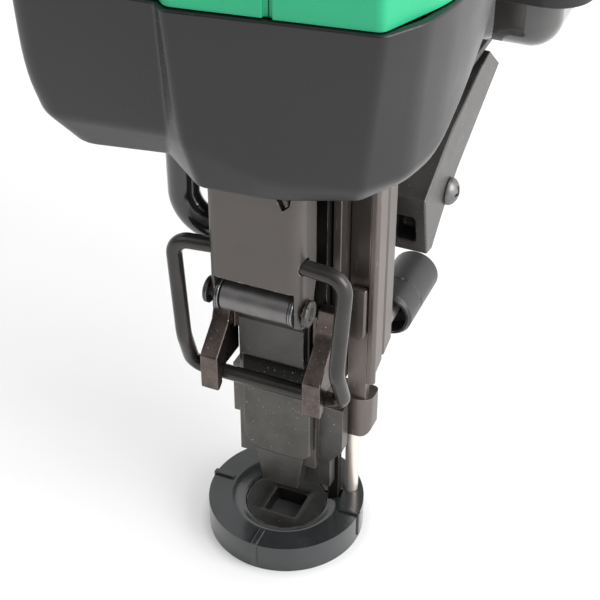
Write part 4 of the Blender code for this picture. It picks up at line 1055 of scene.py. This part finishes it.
HOUSING_SHOULDER = [
    (-56.4, -30.2, COVER_Z),
    (-18.0, -28.6, COVER_Z),
    (-15.0, -31.5, COVER_Z),
    (9.8, -27.9, COVER_Z),
    (34.4, -24.8, COVER_Z),
    (40.6, -14.5, COVER_Z),
    (43.2, -3.0, COVER_Z),
    (44.2, 14.0, COVER_Z),
    (44.2, 28.0, COVER_Z),
    (43.5, HOUSING_BACK, COVER_Z),
    (-51.0, HOUSING_BACK, COVER_Z),
    (-57.0, 32.0, COVER_Z),
    (-57.0, -11.0, COVER_Z),
]
PLAN_REACH = [6.0, 0.8, 1.66, 6.0, 1.6, 3.0, 6.0, 6.0, 6.0, 2.0, 4.0, 3.0, 3.0]
COVER_CORNERS = (0, 1, 2, 4, 6, 8, 9, 10, 11, 12)
FLOOR_HUB = Vector((5.0, 4.0, 134.0))
NOSE_OPENING = (-14.6, 28.5, -15.6, 25.0)


def opening_ring(ring, lift):
    """Where the run from each ring point to the floor's hub meets the edge of the nose opening."""
    left, right, front, back = NOSE_OPENING
    points = []
    for point in ring:
        run = Vector(point) - FLOOR_HUB
        across = (right - FLOOR_HUB.x) / run.x if run.x > 0 else (left - FLOOR_HUB.x) / min(run.x, -0.001)
        along = (back - FLOOR_HUB.y) / run.y if run.y > 0 else (front - FLOOR_HUB.y) / min(run.y, -0.001)
        spot = FLOOR_HUB + run * min(across, along, 0.97)
        points.append((spot.x, spot.y, spot.z + lift))
    return points


def housing():
    down = (HOUSING_SHOULDER, HOUSING_WAIST, HOUSING_CREASE, HOUSING_LIP)
    outer = [rounded_ring(ring, PLAN_REACH, 6) for ring in down]
    lifts = (WALL, WALL - 0.5, 0.0, 0.0)
    walls = [inset(ring, WALL, lift) for ring, lift in zip(reversed(down), lifts)]
    inner = [rounded_ring(ring, PLAN_REACH, 6) for ring in walls]
    rings = outer + [opening_ring(outer[-1], 0.0), opening_ring(outer[-1], WALL)] + inner
    reaches = [0.7, 9.0, 1.8, 1.0, 0.8, 0.8, 1.0, 1.0, 1.0, 0.7]
    shell = skin("housing", swept(rings, reaches, True), closed=True)
    fine("front_housing", shell, BLACK_PLASTIC)


def covers():
    outline = [HOUSING_SHOULDER[i] for i in COVER_CORNERS]
    reach = [PLAN_REACH[i] for i in COVER_CORNERS]
    start = [(x, y, COVER_Z + GAP) for x, y, _ in inset(outline, 1.2)]
    steps = ((1.0, COVER_Z + GAP), (0.975, 205.0), (0.955, 246.0), (0.87, 260.0), (0.72, HOUSING_TOP))
    outer = [rounded_ring(scaled(start, factor, height), reach, 6) for factor, height in steps]
    cover = skin("cover", swept(outer, [8.0, 8.0, 6.0], False, 6))
    base = inset(start, WALL)
    steps = ((1.0, COVER_Z - 5.0), (0.975, 204.0), (0.955, 244.5), (0.87, 257.8), (0.72, HOUSING_TOP - WALL))
    hollow = [rounded_ring(scaled(base, factor, height), reach, 3) for factor, height in steps]
    cut(cover, skin("hollow", hollow))
    slots = []
    for k in range(7):
        z = 196.0 + 6.0 * k
        slots.append(box("vent_left", (-70.0, -4.0, z), (-45.0, 22.0, z + 2.4), 1.1, 3))
        slots.append(box("vent_right", (32.0, -2.0, z), (60.0, 22.0, z + 2.4), 1.1, 3))
    cut(cover, *slots)
    deep, half = 0.8, 1.2
    steps = ((1.0, COVER_Z - 6.0), (0.975, 204.6), (0.955, 245.4), (0.87, 259.2), (0.72, HOUSING_TOP - deep))
    floor_of_groove = inset(start, deep)
    core = [rounded_ring(scaled(floor_of_groove, factor, height), reach, 3) for factor, height in steps]
    groove = box("groove", (SEAM_X - half, -60.0, COVER_Z - 4), (SEAM_X + half, 60.0, HOUSING_TOP + 4))
    cut(cover, cut(groove, skin("core", core)))
    left, right = parted(cover, SEAM_X)
    fine("top_cover_left", left, GREEN_PLASTIC, 0.5, 4, 32.0)
    fine("top_cover_right", right, GREEN_PLASTIC, 0.5, 4, 32.0)


def ring_at(y, half_low, half_high, low, high, corner):
    """A section of the rear housing at one place along Y, with its corners rounded."""
    corners = [(-half_low, y, low), (-half_high, y, high), (half_high, y, high), (half_low, y, low)]
    return rounded_ring(corners, corner * 1.3, 8)


def rear():
    back = HOUSING_BACK + GAP
    rings = [ring_at(back, 42.0, 40.0, 177.6, 259.0, 9.0), ring_at(50.0, 34.0, 32.0, 182.0, 258.0, 9.0)]
    rings.append(ring_at(HANDLE_Y[0] - GAP, 15.5, 15.5, 211.0, 253.5, 5.0))
    shell = skin("rear", swept(rings, [6.0], False))
    hollow = [ring_at(back - 5.0, 39.0, 37.0, 180.6, 256.0, 8.0)]
    hollow.append(ring_at(48.0, 31.0, 29.0, 186.0, 254.0, 8.0))
    hollow.append(ring_at(59.0, 15.0, 15.0, 209.0, 250.0, 4.0))
    fine("rear_housing", cut(shell, skin("hollow", hollow)), BLACK_PLASTIC, 0.8, 3, 40.0)


# --- handle, controls and power


def handle():
    low = (-HANDLE_HALF, HANDLE_Y[0], HANDLE_Z[0])
    high = (HANDLE_HALF, HANDLE_Y[1], HANDLE_Z[1])
    grip = box("grip", low, high, 6.0, 8)
    hollow = box("hollow", (-11.5, HANDLE_Y[0] + 3, 218.0), (11.5, HANDLE_Y[1] - 3, 247.0))
    slot = box("slot", (-6.4, 67.8, 205.0), (6.4, 93.0, 230.0))
    pin_hole = rod("pin_hole", "X", (0, TRIGGER_Y, TRIGGER_Z), 1.8, 27.4)
    cut(grip, hollow, slot, pin_hole)
    left, right = parted(grip, 0.0)
    fine("handle_left", left, BLACK_PLASTIC, 0.4, 3, 40.0)
    fine("handle_right", right, BLACK_PLASTIC, 0.4, 3, 40.0)


def grip_sleeve():
    sleeve = box("sleeve", (-17.3, 104.0, 211.2), (17.3, 168.0, 253.8), 7.0, 8)
    low = (-HANDLE_HALF - GAP, 95.0, HANDLE_Z[0] - GAP)
    high = (HANDLE_HALF + GAP, 175.0, HANDLE_Z[1] + GAP)
    cut(sleeve, box("bore", low, high, 5.5, 5))
    grooves = []
    for k in range(9):
        y = 111.0 + 5.8 * k
        for side in (-1, 1):
            near, far = sorted((side * 16.6, side * 20.0))
            grooves.append(box("groove", (near, y, 219.0), (far, y + 2.2, 246.0), 0.6, 2))
        grooves.append(box("groove", (-11.0, y, 205.0), (11.0, y + 2.2, 211.9), 0.6, 2))
    fine("grip_sleeve", cut(sleeve, *grooves), GRIP_RUBBER, 0.5, 3, 40.0)


def trigger():
    outline = [
        (69.3, 224.0),
        (69.3, 212.0),
        (72.6, 203.0),
        (72.0, 196.0),
        (69.6, 189.5),
        (73.0, 188.0),
        (78.0, 197.0),
        (80.0, 210.0),
        (84.0, 220.0),
        (83.0, 225.0),
        (72.0, 226.0),
    ]
    reaches = [1.0, 4.0, 4.0, 3.0, 1.0, 1.2, 4.0, 5.0, 3.0, 1.0, 1.0]
    curve = rounded_ring([(y, z, 0.0) for y, z in outline], reaches, 5)
    piece = plate("trigger", "YZ", [(p.x, p.y) for p in curve], -5.8, 5.8)
    hole = rod("hole", "X", (0, TRIGGER_Y, TRIGGER_Z), 1.8, 40.0, 32)
    fine("trigger", cut(piece, hole), BLACK_PLASTIC, 1.2, 4, 40.0)


def battery_foot():
    foot = box("foot", (-33.0, FOOT_Y[0], 186.0), (33.0, FOOT_Y[1], 262.0), 4.0, 6)
    join(foot, box("rail", (-20.0, FOOT_Y[1] - 3, 190.0), (20.0, FOOT_Y[1] + 5, 250.0)))
    fine("battery_foot", foot, BLACK_PLASTIC, 0.5, 3, 40.0)


def battery():
    low = (-BATTERY_HALF, FOOT_Y[1] + 0.4, BATTERY_Z[0])
    high = (BATTERY_HALF, REAR_Y, BATTERY_Z[1])
    pack = box("pack", low, high, 5.0, 6)
    cutters = [box("channel", (-20.5, FOOT_Y[1] - 5, 189.6), (20.5, FOOT_Y[1] + 5.6, 280.0))]
    for side in (-1, 1):
        near, far = sorted((side * 32.0, side * 45.0))
        cutters.append(box("pocket", (near, 206.0, 238.0), (far, 220.0, 252.0)))
        near, far = sorted((side * (BATTERY_HALF - 1.6), side * 45.0))
        for z in (190.0, 197.0, 204.0, 211.0):
            cutters.append(box("groove", (near, 206.0, z), (far, 238.0, z + 3.2), 0.9, 3))
    cutters.append(box("panel", (-24.0, REAR_Y - 1.0, 196.0), (24.0, REAR_Y + 5.0, 244.0), 0.4, 2))
    fine("battery", cut(pack, *cutters), BLACK_PLASTIC, 0.5, 3, 40.0)


def battery_releases():
    for node, side in (("battery_release_left", -1), ("battery_release_right", 1)):
        near, far = sorted((side * 34.6, side * 38.2))
        button = box("button", (near, 206.4, 238.4), (far, 219.6, 251.6))
        near, far = sorted((side * 37.7, side * 40.0))
        places = [208.5 + 3.0 * k for k in range(4)]
        grooves = [box("groove", (near, y, 240.5), (far, y + 1.3, 249.5)) for y in places]
        fine(node, cut(button, *grooves), BLACK_PLASTIC, 0.4)


def mode_selector():
    knob = rod("knob", "X", (-35.4, 185.2, 222.0), 6.0, 4.2, 64)
    bar = box("bar", (-40.0, 184.2, 217.0), (-36.5, 186.2, 227.0))
    fine("mode_selector", join(knob, bar), BLACK_PLASTIC, 0.5)


def belt_hook():
    reach = HOOK_REACH - 2.0
    corners = [(33.4, HOOK_Y, HOOK_Z), (reach, HOOK_Y, HOOK_Z), (reach, HOOK_Y, 200.0), (42.0, HOOK_Y, 192.0)]
    fine("belt_hook", tube("belt_hook", rounded_path(corners, (6.0, 6.0), 12), 2.0, 32), BLACK_WIRE)


def dial():
    at = (2.0, 21.6)
    wheel = rod("dial", "Z", (*at, 118.0), 5.0, 7.0, 64)
    notches = []
    for k in range(16):
        turn = 2 * math.pi * k / 16
        place = (at[0] + 5.2 * math.cos(turn), at[1] + 5.2 * math.sin(turn), 118.0)
        notches.append(rod("notch", "Z", place, 0.5, 9.0, 12))
    cut(wheel, *notches)
    fine("depth_dial", join(wheel, rod("stud", "Z", (*at, 131.0), 2.0, 26.0, 32)), BLACK_PLASTIC, 0.25, 2)


# --- assembly


def carried_over():
    """The CAD nodes whose shape is right keep it, and get their finish."""
    for node, obj in frame["nodes"].items():
        if not obj.hide_render:
            obj.data.materials.clear()
            obj.data.materials.append(FINISH_OF_SLOT[SLOT_OF[node]])


camera()
room()
softboxes()
floor()
contact_ring()
contact_foot()
contact_arm()
nose()
front_guide()
hooks()
latch_bracket()
latch_pin()
latch_lever()
bail()
rail()
guard()
feed_chute()
feed_door()
feeder()
arm()
arm_screw()
canister()
canister_lid()
canister_latch()
housing()
covers()
rear()
handle()
grip_sleeve()
trigger()
battery_foot()
battery()
battery_releases()
mode_selector()
belt_hook()
dial()
carried_over()

bpy.context.view_layer.update()
